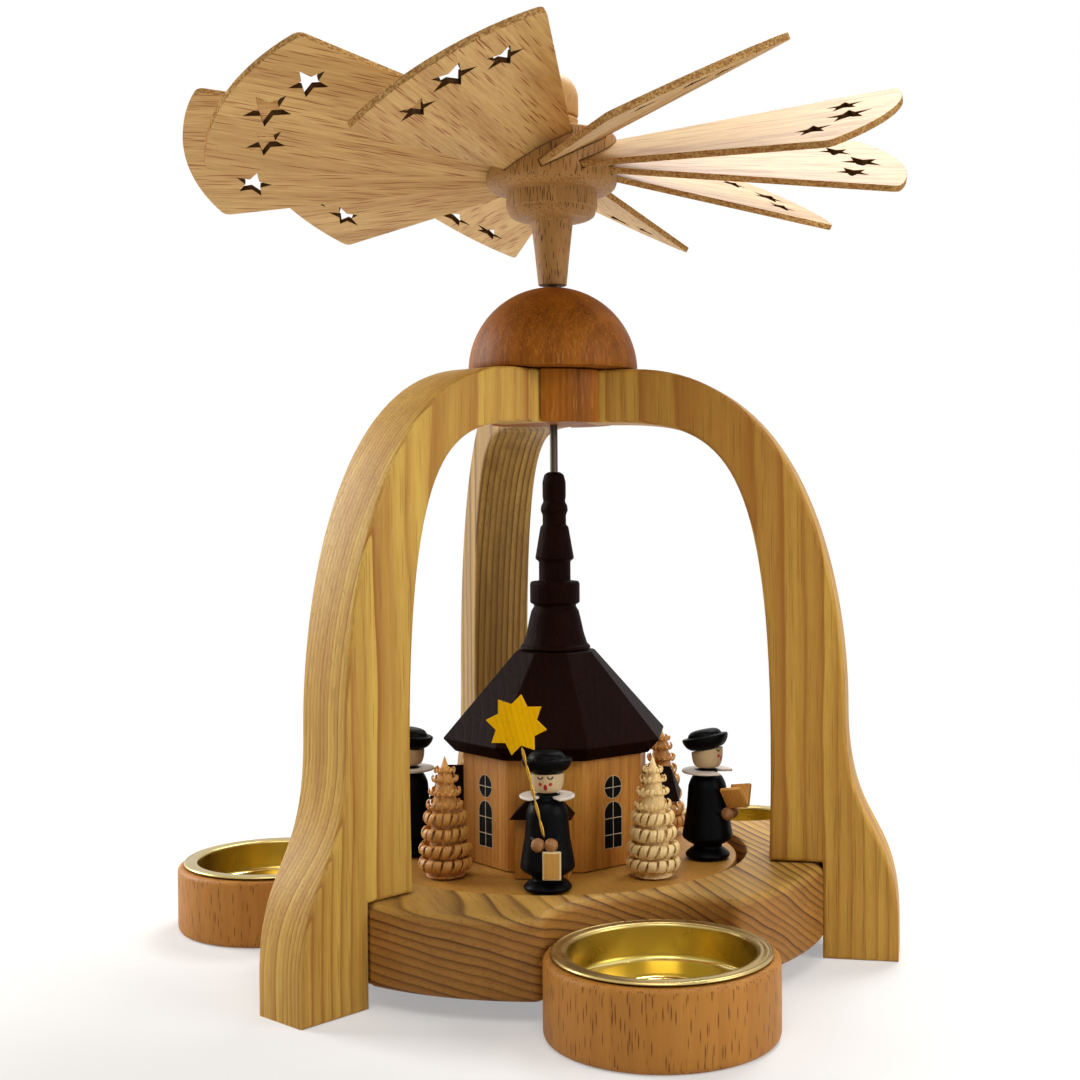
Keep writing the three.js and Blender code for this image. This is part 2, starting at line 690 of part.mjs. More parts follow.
const knobLevel = drumTop + KNOB_NECK_HEIGHT;
const grooveLevel = knobLevel + KNOB_COLLAR_HEIGHT;
const ballLevel = grooveLevel + KNOB_GROOVE + KNOB_SKIRT;
piece(rotor, 'finial_knob', turned([
  [0, drumTop - KNOB_SPIGOT],
  [KNOB_NECK_RADIUS, drumTop - KNOB_SPIGOT],
  [KNOB_NECK_RADIUS, knobLevel],
  [KNOB_RADIUS - KNOB_GROOVE, knobLevel],
  [KNOB_RADIUS, grooveLevel],
  [KNOB_RADIUS - 2 * KNOB_GROOVE, grooveLevel],
  [KNOB_RADIUS - 2 * KNOB_GROOVE, grooveLevel + KNOB_GROOVE],
  [KNOB_RADIUS, grooveLevel + KNOB_GROOVE],
  ...arc(0, ballLevel, KNOB_RADIUS, 0, Math.PI / 2, 2 * SMALL_ARC_STEP_COUNT).map((p) => [Math.max(p.x, 0), p.y]),
], SMALL_FACET_COUNT), beech());

bladeTurns.forEach((turn, i) => {
  const place = nest(rotor, turn, 0, bladeLevel);
  const blade = piece(place, `blade_${String(i + 1).padStart(2, '0')}`, bladeGeometry(), plywood());
  blade.rotation.x = radians(BLADE_PITCH_ANGLE);
});

// Spindle: pointed below, where it turns in the bearing, and held in the hub above
const pointLevel = recessFloor - BEARING_PIT_DEPTH + FIT;
piece(carousel, 'spindle', turned([
  [0, pointLevel],
  [SPINDLE_RADIUS, pointLevel + SPINDLE_POINT],
  [SPINDLE_RADIUS, hubLevel + SPINDLE_IN_HUB],
  [0, hubLevel + SPINDLE_IN_HUB],
], TINY_FACET_COUNT), steel());

// Turning table and all that stands on it
const display = nest(carousel, TABLE_ANGLE);
piece(display, 'turntable', turned([
  [bore, tableBottom],
  [tableRadius - TABLE_EASE, tableBottom],
  [tableRadius, tableBottom + TABLE_EASE],
  [tableRadius, tableTop - TABLE_EASE],
  [tableRadius - TABLE_EASE, tableTop],
  [bore, tableTop],
  [bore, tableBottom],
], BIG_FACET_COUNT), paleWood());

// Church: eight walls with a face to the front, a porch on every other face
const porchTurns = Array.from({ length: CHURCH_SIDE_COUNT / 2 }, (_, i) => (i * 720) / CHURCH_SIDE_COUNT);
const eightSided = (profile) => turned(profile, CHURCH_SIDE_COUNT).rotateZ(halfFace);
const walls = eightSided([
  [0, displayLevel],
  [CHURCH_RADIUS, displayLevel],
  [CHURCH_RADIUS, wallTop],
  [0, wallTop],
]);
const porches = porchTurns.map((turn) => {
  const porch = new THREE.BoxGeometry(porchFront, 2 * PORCH_HALF, PORCH_HEIGHT);
  return porch.translate(porchFront / 2, 0, displayLevel + PORCH_HEIGHT / 2).rotateZ(radians(turn));
});
const spindleWay = rod(bore, -OVERRUN, wallTop + OVERRUN, TINY_FACET_COUNT);
piece(display, 'church_body', cut(join(walls, ...porches), spindleWay), paleWood());

const soffitRadius = CHURCH_RADIUS + SOFFIT_WIDTH;
const roofBlock = eightSided([
  [0, roofLevel],
  [soffitRadius, roofLevel],
  [soffitRadius + EAVE_FLARE, roofLevel + EAVE_RISE],
  [SPIRE_RADIUS + ROOF_LEDGE, roofTop],
  [0, roofTop],
]);
piece(display, 'church_roof', cut(roofBlock, rod(bore, 0, roofTop + OVERRUN, TINY_FACET_COUNT)), darkStain());

piece(display, 'spire', turned([
  [bore, spireLevel],
  ...scaled(SPIRE_SHARES, SPIRE_RADIUS, SPIRE_HEIGHT, spireLevel),
  [bore, spireLevel + SPIRE_HEIGHT],
  [bore, spireLevel],
], SMALL_FACET_COUNT), darkStain());

// A porch roof leans on the wall: a ridge that runs out level, then a hip down to the front eave.
function porchRoof() {
  const back = wallDistance + FIT;
  const eaveX = porchFront + PORCH_FRONT_EAVE;
  const ridgeX = eaveX - PORCH_HIP;
  const eaveY = PORCH_HALF + PORCH_EAVE;
  const eaveZ = displayLevel + PORCH_HEIGHT + FIT;
  const ridgeZ = eaveZ + PORCH_ROOF_RISE;
  return new ConvexGeometry([
    new THREE.Vector3(back, -eaveY, eaveZ),
    new THREE.Vector3(back, eaveY, eaveZ),
    new THREE.Vector3(back, 0, ridgeZ),
    new THREE.Vector3(eaveX, -eaveY, eaveZ),
    new THREE.Vector3(eaveX, eaveY, eaveZ),
    new THREE.Vector3(ridgeX, 0, ridgeZ),
  ]);
}
const sideNames = ['front', 'right', 'back', 'left'];
sideNames.forEach((side, i) => {
  piece(nest(display, porchTurns[i]), `porch_roof_${side}`, porchRoof(), darkStain());
});

// Tree: rows of points round the stem. Between two curls of a ring every second column is drawn
// in, so that each ring is a wreath of curls. The lower rings are fat rolls, the upper ones frills
// that turn up at the rim.
function treeGeometry() {
  const columns = 2 * TREE_CURL_COUNT;
  const rows = [];
  const row = (stem, reach, height) => rows.push({ stem, reach, height });
  const plain = (radius, height) => row(radius, radius, height);
  plain(TREE_STUB_RADIUS, 0);
  plain(TREE_STUB_RADIUS, TREE_STUB_HEIGHT);
  let below = TREE_STUB_RADIUS;
  TREE_RING_SHARES.forEach(([heightShare, reachShare, halfShare, stemShare], ring) => {
    const height = heightShare * TREE_HEIGHT;
    const reach = reachShare * TREE_RADIUS;
    const half = halfShare * TREE_HEIGHT;
    const stem = stemShare * TREE_RADIUS;
    const shoulder = stem + (reach - stem) * CURL_SLIT_SHARE;
    plain(Math.min(below, stem), height - half);
    if (ring < TREE_ROLL_COUNT) {
      row(stem, shoulder, height - half * CURL_SLIT_SHARE);
      row(stem, reach, height);
      row(stem, shoulder, height + half * CURL_SLIT_SHARE);
    } else {
      row(stem, reach, height + half / 2);
    }
    below = stem;
  });
  plain(below, TREE_HEIGHT * (1 + TREE_RING_SHARES[TREE_RING_SHARES.length - 1][0]) / 2);
  const position = [];
  rows.forEach(({ stem, reach, height }) => {
    for (let i = 0; i < columns; i++) {
      const angle = (i / columns) * 2 * Math.PI;
      const radius = i % 2 ? stem + (reach - stem) * CURL_SLIT_SHARE : reach;
      position.push(radius * Math.cos(angle), radius * Math.sin(angle), height);
    }
  });
  position.push(0, 0, 0, 0, 0, TREE_HEIGHT);
  const foot = rows.length * columns;
  const index = [];
  for (let i = 0; i < columns; i++) {
    const j = (i + 1) % columns;
    const top = (rows.length - 1) * columns;
    index.push(foot, j, i, foot + 1, top + i, top + j);
    for (let level = 0; level < rows.length - 1; level++) {
      const [a, b] = [level * columns + i, level * columns + j];
      index.push(a, b, b + columns, a, b + columns, a + columns);
    }
  }
  const geometry = new THREE.BufferGeometry();
  geometry.setAttribute('position', new THREE.Float32BufferAttribute(position, 3));
  geometry.setIndex(index);
  return geometry;
}
// Each tree stands before a face between two porches, turned a little off it as it was glued
const TREE_ANGLES = [47, 135, 225, 319];
['front_right', 'back_right', 'back_left', 'front_left'].forEach((side, i) => {
  const place = nest(display, TREE_ANGLES[i], treeDistance, displayLevel);
  piece(place, `tree_${side}`, treeGeometry(), shavings());
});

// Figures face outwards, along their own +X, with the hands in front of the chest
const neckTop = COAT_HEIGHT + NECK_HEIGHT;
const headLevel = neckTop + FIT;
const hatSeat = headLevel + HEAD_HEIGHT;

const handAt = (side, grow) =>
  new THREE.SphereGeometry(HAND_RADIUS + grow, TINY_FACET_COUNT, TINY_FACET_COUNT / 2)
    .rotateX(Math.PI / 2)
    .translate(HAND_REACH, side * HAND_SPREAD, HAND_HEIGHT);

// An arm hangs from the shoulder to the elbow and reaches forward to the hand.
function armGeometry(side) {
  const shoulder = new THREE.Vector3(0, side * SHOULDER_SPREAD, COAT_HEIGHT - SHOULDER_DROP);
  const elbow = new THREE.Vector3(ARM_RADIUS / 2, side * ELBOW_SPREAD, COAT_HEIGHT - ELBOW_DROP);
  const hand = new THREE.Vector3(HAND_REACH, side * HAND_SPREAD, HAND_HEIGHT);
  const path = new THREE.QuadraticBezierCurve3(shoulder, elbow, hand);
  const section = outline(arc(0, 0, ARM_RADIUS, 0, 2 * Math.PI, 2 * SMALL_ARC_STEP_COUNT));
  return new THREE.ExtrudeGeometry(section, { steps: SMALL_ARC_STEP_COUNT, extrudePath: path });
}

function coatGeometry() {
  const body = turned([
    [0, 0],
    ...scaled(COAT_SHARES, COAT_RADIUS, COAT_HEIGHT),
    [NECK_RADIUS, COAT_HEIGHT],
    [NECK_RADIUS, neckTop],
    [0, neckTop],
  ], SMALL_FACET_COUNT);
  const dressed = join(body, armGeometry(1), armGeometry(-1));
  return cut(dressed, handAt(1, FIT), handAt(-1, FIT));
}

// The collar is a flat ring with a gap at the throat.
function collarGeometry() {
  const gap = radians(COLLAR_ANGLE);
  const rim = arc(0, 0, COLLAR_RADIUS, gap, 2 * Math.PI - gap, SMALL_FACET_COUNT);
  const throat = arc(0, 0, NECK_RADIUS + FIT, 2 * Math.PI - gap, gap, TINY_FACET_COUNT);
  const level = COAT_HEIGHT + FIT + COLLAR_THICKNESS / 2;
  return plate(new THREE.Shape([...rim, ...throat]), COLLAR_THICKNESS).translate(0, 0, level);
}

// The head's top is cut on the slant that the hat sits on.
function headGeometry(tilt) {
  const ball = turned([
    [0, headLevel],
    ...scaled(HEAD_SHARES, HEAD_RADIUS, HEAD_BALL_HEIGHT, headLevel),
    [0, headLevel + HEAD_BALL_HEIGHT],
  ], SMALL_FACET_COUNT);
  const span = 4 * HEAD_RADIUS;
  const slant = new THREE.BoxGeometry(span, span, 2 * HEAD_BALL_HEIGHT)
    .translate(0, 0, HEAD_BALL_HEIGHT)
    .rotateY(-radians(tilt))
    .translate(0, 0, hatSeat);
  return cut(ball, slant);
}

const hatGeometry = () =>
  turned([[0, 0], ...scaled(HAT_SHARES, HAT_RADIUS, HAT_HEIGHT), [0, HAT_HEIGHT]], SMALL_FACET_COUNT);

// Open songbook: two boards in a V along the line in which the singer looks, held by both hands.
function songbookGeometry() {
  const lean = radians(BOOK_OPEN_ANGLE);
  const across = new THREE.Vector2(Math.cos(lean), -Math.sin(lean)).multiplyScalar(BOOK_BOARD);
  const along = new THREE.Vector2(Math.sin(lean), Math.cos(lean)).multiplyScalar(BOOK_HEIGHT);
  const outerTop = new THREE.Vector2(BOOK_SPINE + along.x, along.y);
  const innerTop = outerTop.clone().sub(across);
  const fold = (across.x - BOOK_SPINE) / Math.tan(lean) - across.y;
  const shape = new THREE.Shape([
    new THREE.Vector2(-BOOK_SPINE, 0),
    new THREE.Vector2(BOOK_SPINE, 0),
    outerTop,
    innerTop,
    new THREE.Vector2(0, fold),
    new THREE.Vector2(-innerTop.x, innerTop.y),
    new THREE.Vector2(-outerTop.x, outerTop.y),
  ]);
  const book = new THREE.ExtrudeGeometry(shape, { depth: BOOK_LENGTH, bevelEnabled: false });
  book.rotateX(Math.PI / 2).rotateZ(Math.PI / 2).rotateY(-radians(BOOK_TILT_ANGLE));
  book.translate(HAND_REACH - BOOK_INSET, 0, HAND_HEIGHT + HAND_RADIUS / 2);
  return join(book, handAt(1, 0), handAt(-1, 0));
}

// Closed song sheet: the star bearer's flat board, hanging from both hands a little to one side.
function songSheetGeometry() {
  const front = COAT_RADIUS + FIT;
  const top = HAND_HEIGHT - HAND_RADIUS + SHEET_RISE;
  const sheet = new THREE.BoxGeometry(SHEET_THICKNESS, SHEET_WIDTH, SHEET_HEIGHT);
  sheet.translate(front + SHEET_THICKNESS / 2, SHEET_SHIFT, top - SHEET_HEIGHT / 2);
  return join(sheet, handAt(1, 0), handAt(-1, 0));
}

// Two wires wound round each other, drawn as one section with two lobes that turns as it climbs.
function rodGeometry(length) {
  const sides = TINY_FACET_COUNT;
  const steps = 3 * ROD_TURN_COUNT;
  const position = [0, 0, 0, 0, 0, length];
  for (let step = 0; step <= steps; step++) {
    for (let i = 0; i < sides; i++) {
      const angle = (i / sides) * 2 * Math.PI;
      const lobe = Math.abs(Math.cos(angle));
      const radius = ROD_RADIUS * (ROD_WAIST_SHARE + (1 - ROD_WAIST_SHARE) * lobe);
      const turn = angle + (step / steps) * ROD_TURN_COUNT * Math.PI;
      position.push(radius * Math.cos(turn), radius * Math.sin(turn), (step / steps) * length);
    }
  }
  const index = [];
  for (let i = 0; i < sides; i++) {
    const j = (i + 1) % sides;
    const top = 2 + steps * sides;
    index.push(0, 2 + j, 2 + i, 1, top + i, top + j);
    for (let step = 0; step < steps; step++) {
      const [a, b] = [2 + step * sides + i, 2 + step * sides + j];
      index.push(a, b, b + sides, a, b + sides, a + sides);
    }
  }
  const geometry = new THREE.BufferGeometry();
  geometry.setAttribute('position', new THREE.Float32BufferAttribute(position, 3));
  geometry.setIndex(index);
  return geometry;
}

// Each figure stands before its porch as it was glued: a little to one side, a little nearer or
// farther out, turned by a hand's breadth, and with its own slant of the hat.
const FIGURE_ANGLES = [4, 84, 180, 276];
const FIGURE_DISTANCE_SHARES = [1.01, 1, 1, 0.965];
const FIGURE_YAW_ANGLES = [-3, -18, 0, 0];
const HAT_TILT_ANGLES = [1, 12, 6, 8];
sideNames.forEach((side, i) => {
  const name = `figure_${side}`;
  const distance = figureDistance * FIGURE_DISTANCE_SHARES[i];
  const place = nest(display, FIGURE_ANGLES[i], distance, displayLevel);
  place.rotation.z = radians(FIGURE_YAW_ANGLES[i]);
  piece(place, `${name}_coat`, coatGeometry(), blackLacquer());
  piece(place, `${name}_collar`, collarGeometry(), whitePaint());
  piece(place, `${name}_head`, headGeometry(HAT_TILT_ANGLES[i]), paleWood());
  const hat = piece(place, `${name}_hat`, hatGeometry(), blackLacquer());
  hat.position.z = hatSeat + FIT;
  hat.rotation.y = -radians(HAT_TILT_ANGLES[i]);
  if (side !== 'front') {
    piece(place, `${name}_songbook`, songbookGeometry(), paleWood());
    return;
  }
  piece(place, `${name}_song_sheet`, songSheetGeometry(), paleWood());
  const held = new THREE.Group();
  held.position.set(HAND_REACH + ROD_OUT, 0, HAND_HEIGHT + HAND_RADIUS);
  held.rotation.x = radians(ROD_LEAN_ANGLE);
  place.add(held);
  piece(held, 'star_rod', rodGeometry(STAR_RISE - STAR_WAIST - FIT), brass());
  const notch = Math.PI / STAR_POINT_COUNT;
  const rays = starPoints(0, 0, STAR_RADIUS, STAR_WAIST, STAR_POINT_COUNT);
  const star = plate(new THREE.Shape(rays), STAR_THICKNESS);
  star.rotateZ(notch).rotateY(-Math.PI / 2).translate(0, 0, STAR_RISE);
  piece(held, 'star', star, yellowStain());
});

model.updateMatrixWorld(true);
const box = new THREE.Box3().setFromObject(model, true);
const centre = box.getCenter(new THREE.Vector3());
model.position.set(-centre.x, -centre.y, -box.min.z);
model.updateMatrixWorld(true);

export default model;
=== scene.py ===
import json
import math

import bmesh
import bpy
import numpy as np
from mathutils import Matrix, Vector
from mathutils.geometry import tessellate_polygon

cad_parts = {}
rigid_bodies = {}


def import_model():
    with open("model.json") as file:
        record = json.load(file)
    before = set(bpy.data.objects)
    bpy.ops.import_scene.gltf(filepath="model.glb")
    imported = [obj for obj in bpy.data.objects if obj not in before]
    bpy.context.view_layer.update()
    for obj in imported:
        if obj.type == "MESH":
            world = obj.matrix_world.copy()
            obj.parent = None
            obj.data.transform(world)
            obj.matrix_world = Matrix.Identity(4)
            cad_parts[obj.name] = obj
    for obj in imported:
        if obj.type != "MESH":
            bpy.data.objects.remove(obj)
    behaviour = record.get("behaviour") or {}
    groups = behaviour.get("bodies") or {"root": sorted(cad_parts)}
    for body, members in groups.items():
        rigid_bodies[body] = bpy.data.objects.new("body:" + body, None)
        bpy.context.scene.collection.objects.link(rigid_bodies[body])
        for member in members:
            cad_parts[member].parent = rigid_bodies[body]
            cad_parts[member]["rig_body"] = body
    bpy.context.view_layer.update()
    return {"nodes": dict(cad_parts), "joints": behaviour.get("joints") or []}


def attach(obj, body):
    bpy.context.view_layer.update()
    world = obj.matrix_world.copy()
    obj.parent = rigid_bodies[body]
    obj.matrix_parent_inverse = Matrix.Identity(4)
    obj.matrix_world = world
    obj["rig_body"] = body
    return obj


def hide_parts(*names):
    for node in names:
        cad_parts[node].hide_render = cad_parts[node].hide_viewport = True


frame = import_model()

# The place. The carousel stands on a plain pale table top in a white room. Four soft windows light
# it: high behind on the right, low behind on the left, high in front and low in front on the right.
# The camera stands where the photographer stood, a little above the tealight cups.
MM = 0.001
AXIS = Vector(frame["joints"][0]["pos_m"])


def node(tree, kind, inputs=None, **settings):
    """Adds a shader node. Settings are its properties, and inputs are values or sockets to link."""
    made = tree.nodes.new(kind)
    for name, value in settings.items():
        setattr(made, name, value)
    for key, value in (inputs or {}).items():
        value = getattr(value, "socket", value)
        if isinstance(value, bpy.types.NodeSocket):
            tree.links.new(value, made.inputs[key])
        else:
            made.inputs[key].default_value = value
    return made


class Number:
    """A number in a node tree. Signs and steps on it add the nodes that work them out."""

    def __init__(self, socket):
        self.socket = socket

    def step(self, operation, *others, clamp=False):
        """One step of arithmetic with other numbers, as a Math node."""
        inputs = dict(enumerate((self, *others)))
        return Number(node(self.socket.id_data, "ShaderNodeMath", inputs, operation=operation,
                           use_clamp=clamp).outputs[0])

    def ramp(self, start, end, low=0.0, high=1.0, **settings):
        """From low to high while the number goes from start to end, and level beyond."""
        inputs = dict(enumerate((self, start, end, low, high)))
        return Number(node(self.socket.id_data, "ShaderNodeMapRange", inputs,
                           **settings).outputs[0])

    def mix(self, first, second, mode="MIX"):
        """The first colour where the number is 0, and the second (or their product) where 1."""
        return node(self.socket.id_data, "ShaderNodeMix", {0: self, 6: first, 7: second},
                    data_type="RGBA", blend_type=mode).outputs[2]

    def __abs__(self):
        return self.step("ABSOLUTE")


for sign, operation in (("add", "ADD"), ("sub", "SUBTRACT"), ("mul", "MULTIPLY"), ("pow", "POWER"),
                        ("truediv", "DIVIDE"), ("lt", "LESS_THAN"), ("gt", "GREATER_THAN")):
    setattr(Number, f"__{sign}__", lambda self, other, name=operation: self.step(name, other))


def shown(name, data):
    """A new object in the scene."""
    made = bpy.data.objects.new(name, data)
    bpy.context.scene.collection.objects.link(made)
    return made


def tint(code):
    """A colour as a painter names it, in six hexadecimal digits, as linear light."""
    parts = [int(code[i:i + 2], 16) / 255 for i in (0, 2, 4)]
    return (*[p / 12.92 if p <= 0.04045 else ((p + 0.055) / 1.055) ** 2.4 for p in parts], 1)


def cleared(owner):
    """The empty node tree of a new material or world."""
    owner.use_nodes = True
    owner.node_tree.nodes.clear()
    return owner.node_tree


def looked_at(tree):
    """1 for the rays of the camera, of a mirror and through glass, and 0 for those of light."""
    rays = node(tree, "ShaderNodeLightPath").outputs
    return Number(rays["Is Camera Ray"]).step("MAXIMUM", rays["Is Glossy Ray"]).step(
        "MAXIMUM", rays["Is Transmission Ray"])


def pointing(heading, height=0.0):
    """The direction with that compass heading and height above the horizon, in degrees."""
    around, up = math.radians(heading), math.radians(height)
    return Vector((math.cos(around) * math.cos(up), math.sin(around) * math.cos(up), math.sin(up)))


table_top = bpy.data.meshes.new("table_top")
table_top.from_pydata([(-3, -3, 0), (3, -3, 0), (3, 3, 0), (-3, 3, 0)], [], [(0, 1, 2, 3)])
floor = shown("table_top", table_top)

pale = bpy.data.materials.new("pale_table_top")
tree = cleared(pale)
where = node(tree, "ShaderNodeTexCoord").outputs["Object"]
away = Number(node(tree, "ShaderNodeVectorMath", {0: where}, operation="LENGTH").outputs["Value"])
far = away.ramp(0.12, 0.32, 0.35, 1.0, interpolation_type="SMOOTHSTEP")
matt = node(tree, "ShaderNodeBsdfDiffuse", {"Color": tint("f2f0ec")})
white = node(tree, "ShaderNodeEmission", {"Color": tint("ffffff"), "Strength": 1.0})
top = node(tree, "ShaderNodeMixShader", {0: looked_at(tree) * far, 1: matt.outputs[0],
                                         2: white.outputs[0]})
node(tree, "ShaderNodeOutputMaterial", {"Surface": top.outputs[0]})
table_top.materials.append(pale)

room = bpy.data.worlds.new("white_room")
bpy.context.scene.world = room
tree = cleared(room)
sky = node(tree, "ShaderNodeBackground", {"Color": tint("ffffff"),
                                          "Strength": looked_at(tree) * 0.96 + 0.04})
node(tree, "ShaderNodeOutputWorld", {"Surface": sky.outputs[0]})

# Each window is a soft square a metre from the carousel, with a heading, a height in degrees and a
# strength in watts.
for name, heading, height, power in (
        ("window_back_right", 45, 58, 10.0), ("window_back_left", 143, 19, 9.0),
        ("window_front", 250, 50, 3.9), ("window_front_right", 315, 20, 4.6)):
    light = bpy.data.lights.new(name, "AREA")
    light.shape, light.size, light.energy = "SQUARE", 0.5, power
    pane = shown(name, light)
    pane.location = pointing(heading, height) + Vector((0, 0, 0.12))
    pane.rotation_euler = pointing(heading, height).to_track_quat("Z", "Y").to_euler()

CAMERA_PLACE = (-0.1111, -0.3725, 0.11092)
CAMERA_HEADING, CAMERA_DIP, CAMERA_ROLL = 71.195, 1.312, math.radians(-0.38961)
lens = bpy.data.cameras.new("camera")
lens.sensor_width, lens.lens, lens.shift_x, lens.clip_start = 36, 51.361, -0.0741, 0.01
camera = shown("camera", lens)
ahead, level = pointing(CAMERA_HEADING, -CAMERA_DIP), pointing(CAMERA_HEADING - 90)
right = level * math.cos(CAMERA_ROLL) + level.cross(ahead) * math.sin(CAMERA_ROLL)
turn = Matrix((right, right.cross(ahead), -ahead)).transposed()
camera.matrix_world = Matrix.Translation(CAMERA_PLACE) @ turn.to_4x4()
bpy.context.scene.camera = camera
bpy.context.scene.view_settings.view_transform = "Standard"

# Base board. One thick board of ash with three round bites for the tealight cups and a recess for
# the turning table. The grain runs from front to back, so the growth rings stand out on the rim.


def swung(points, degrees, axis="Z"):
    """Points turned by that angle about an axis through the origin."""
    return np.asarray(points) @ np.array(Matrix.Rotation(math.radians(degrees), 3, axis)).T


def net(rows, columns, loop=False):
    """Faces between the points of a grid whose rows each close on themselves. In a loop the last
    row meets the first. Point (i, j) has the number i times columns plus j."""
    i = np.arange(rows if loop else rows - 1)[:, None] * columns
    j = np.arange(columns)[None]
    k = (i + columns) % (rows * columns)
    nxt = (j + 1) % columns
    return np.stack([i + j, i + nxt, k + nxt, k + j], -1).reshape(-1, 4).tolist()


def closed(name, points, faces, near, fibre=()):
    """A mesh whose faces are turned outwards. Points as near as that are made one, which closes
    seams and poles. Fibre is each point's place in the wood, grain along Z."""
    mesh = bpy.data.meshes.new(name)
    mesh.from_pydata(np.asarray(points).tolist(), [], [list(f) for f in faces])
    if len(fibre):
        grain = mesh.attributes.new("grain", "FLOAT_VECTOR", "POINT")
        grain.data.foreach_set("vector", np.ravel(fibre).astype(np.float32))
    bm = bmesh.new()
    bm.from_mesh(mesh)
    bmesh.ops.remove_doubles(bm, verts=bm.verts, dist=near)
    bmesh.ops.recalc_face_normals(bm, faces=bm.faces)
    bm.to_mesh(mesh)
    bm.free()
    return mesh


def solid(name, points, faces, material, like, slot, fibre=None, stands_for=True, flat=False,
          sharp=35):
    """A piece from points in millimetres about the foot of the spindle's axis. It rides with the
    CAD node that it is like, and stands for that node. Flat leaves the triangles, which fill a
    board's flats, without smoothing."""
    points = np.asarray(points, float)
    mesh = closed(name, points * MM + np.array(AXIS), faces, 2e-7,
                  points if fibre is None else fibre)
    mesh.shade_smooth()
    mesh.set_sharp_from_angle(angle=math.radians(sharp))
    if flat:
        corners = np.zeros(len(mesh.polygons), np.int32)
        mesh.polygons.foreach_get("loop_total", corners)
        mesh.polygons.foreach_set("use_smooth", corners > 3)
    mesh.materials.append(material)
    made = shown(name, mesh)
    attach(made, frame["nodes"][like]["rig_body"])
    if stands_for:
        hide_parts(like)
    return made


def grain(tree):
    """Each point's place in the wood, in a material's tree."""
    return node(tree, "ShaderNodeAttribute", attribute_name="grain").outputs["Vector"]


def noise(vector, scale, detail=2.0):
    """Cloudy noise from 0 to 1, at one scale or at one for each direction."""
    tree = vector.id_data
    if isinstance(scale, tuple):
        vector = node(tree, "ShaderNodeVectorMath", {0: vector, 1: scale},
                      operation="MULTIPLY").outputs[0]
        scale = 1.0
    inputs = {"Vector": vector, "Scale": scale, "Detail": detail}
    return Number(node(tree, "ShaderNodeTexNoise", inputs).outputs["Fac"])


def reach(x, y):
    """The distance of numbers x and y from 0, 0."""
    return (x * x + y * y).step("SQRT")


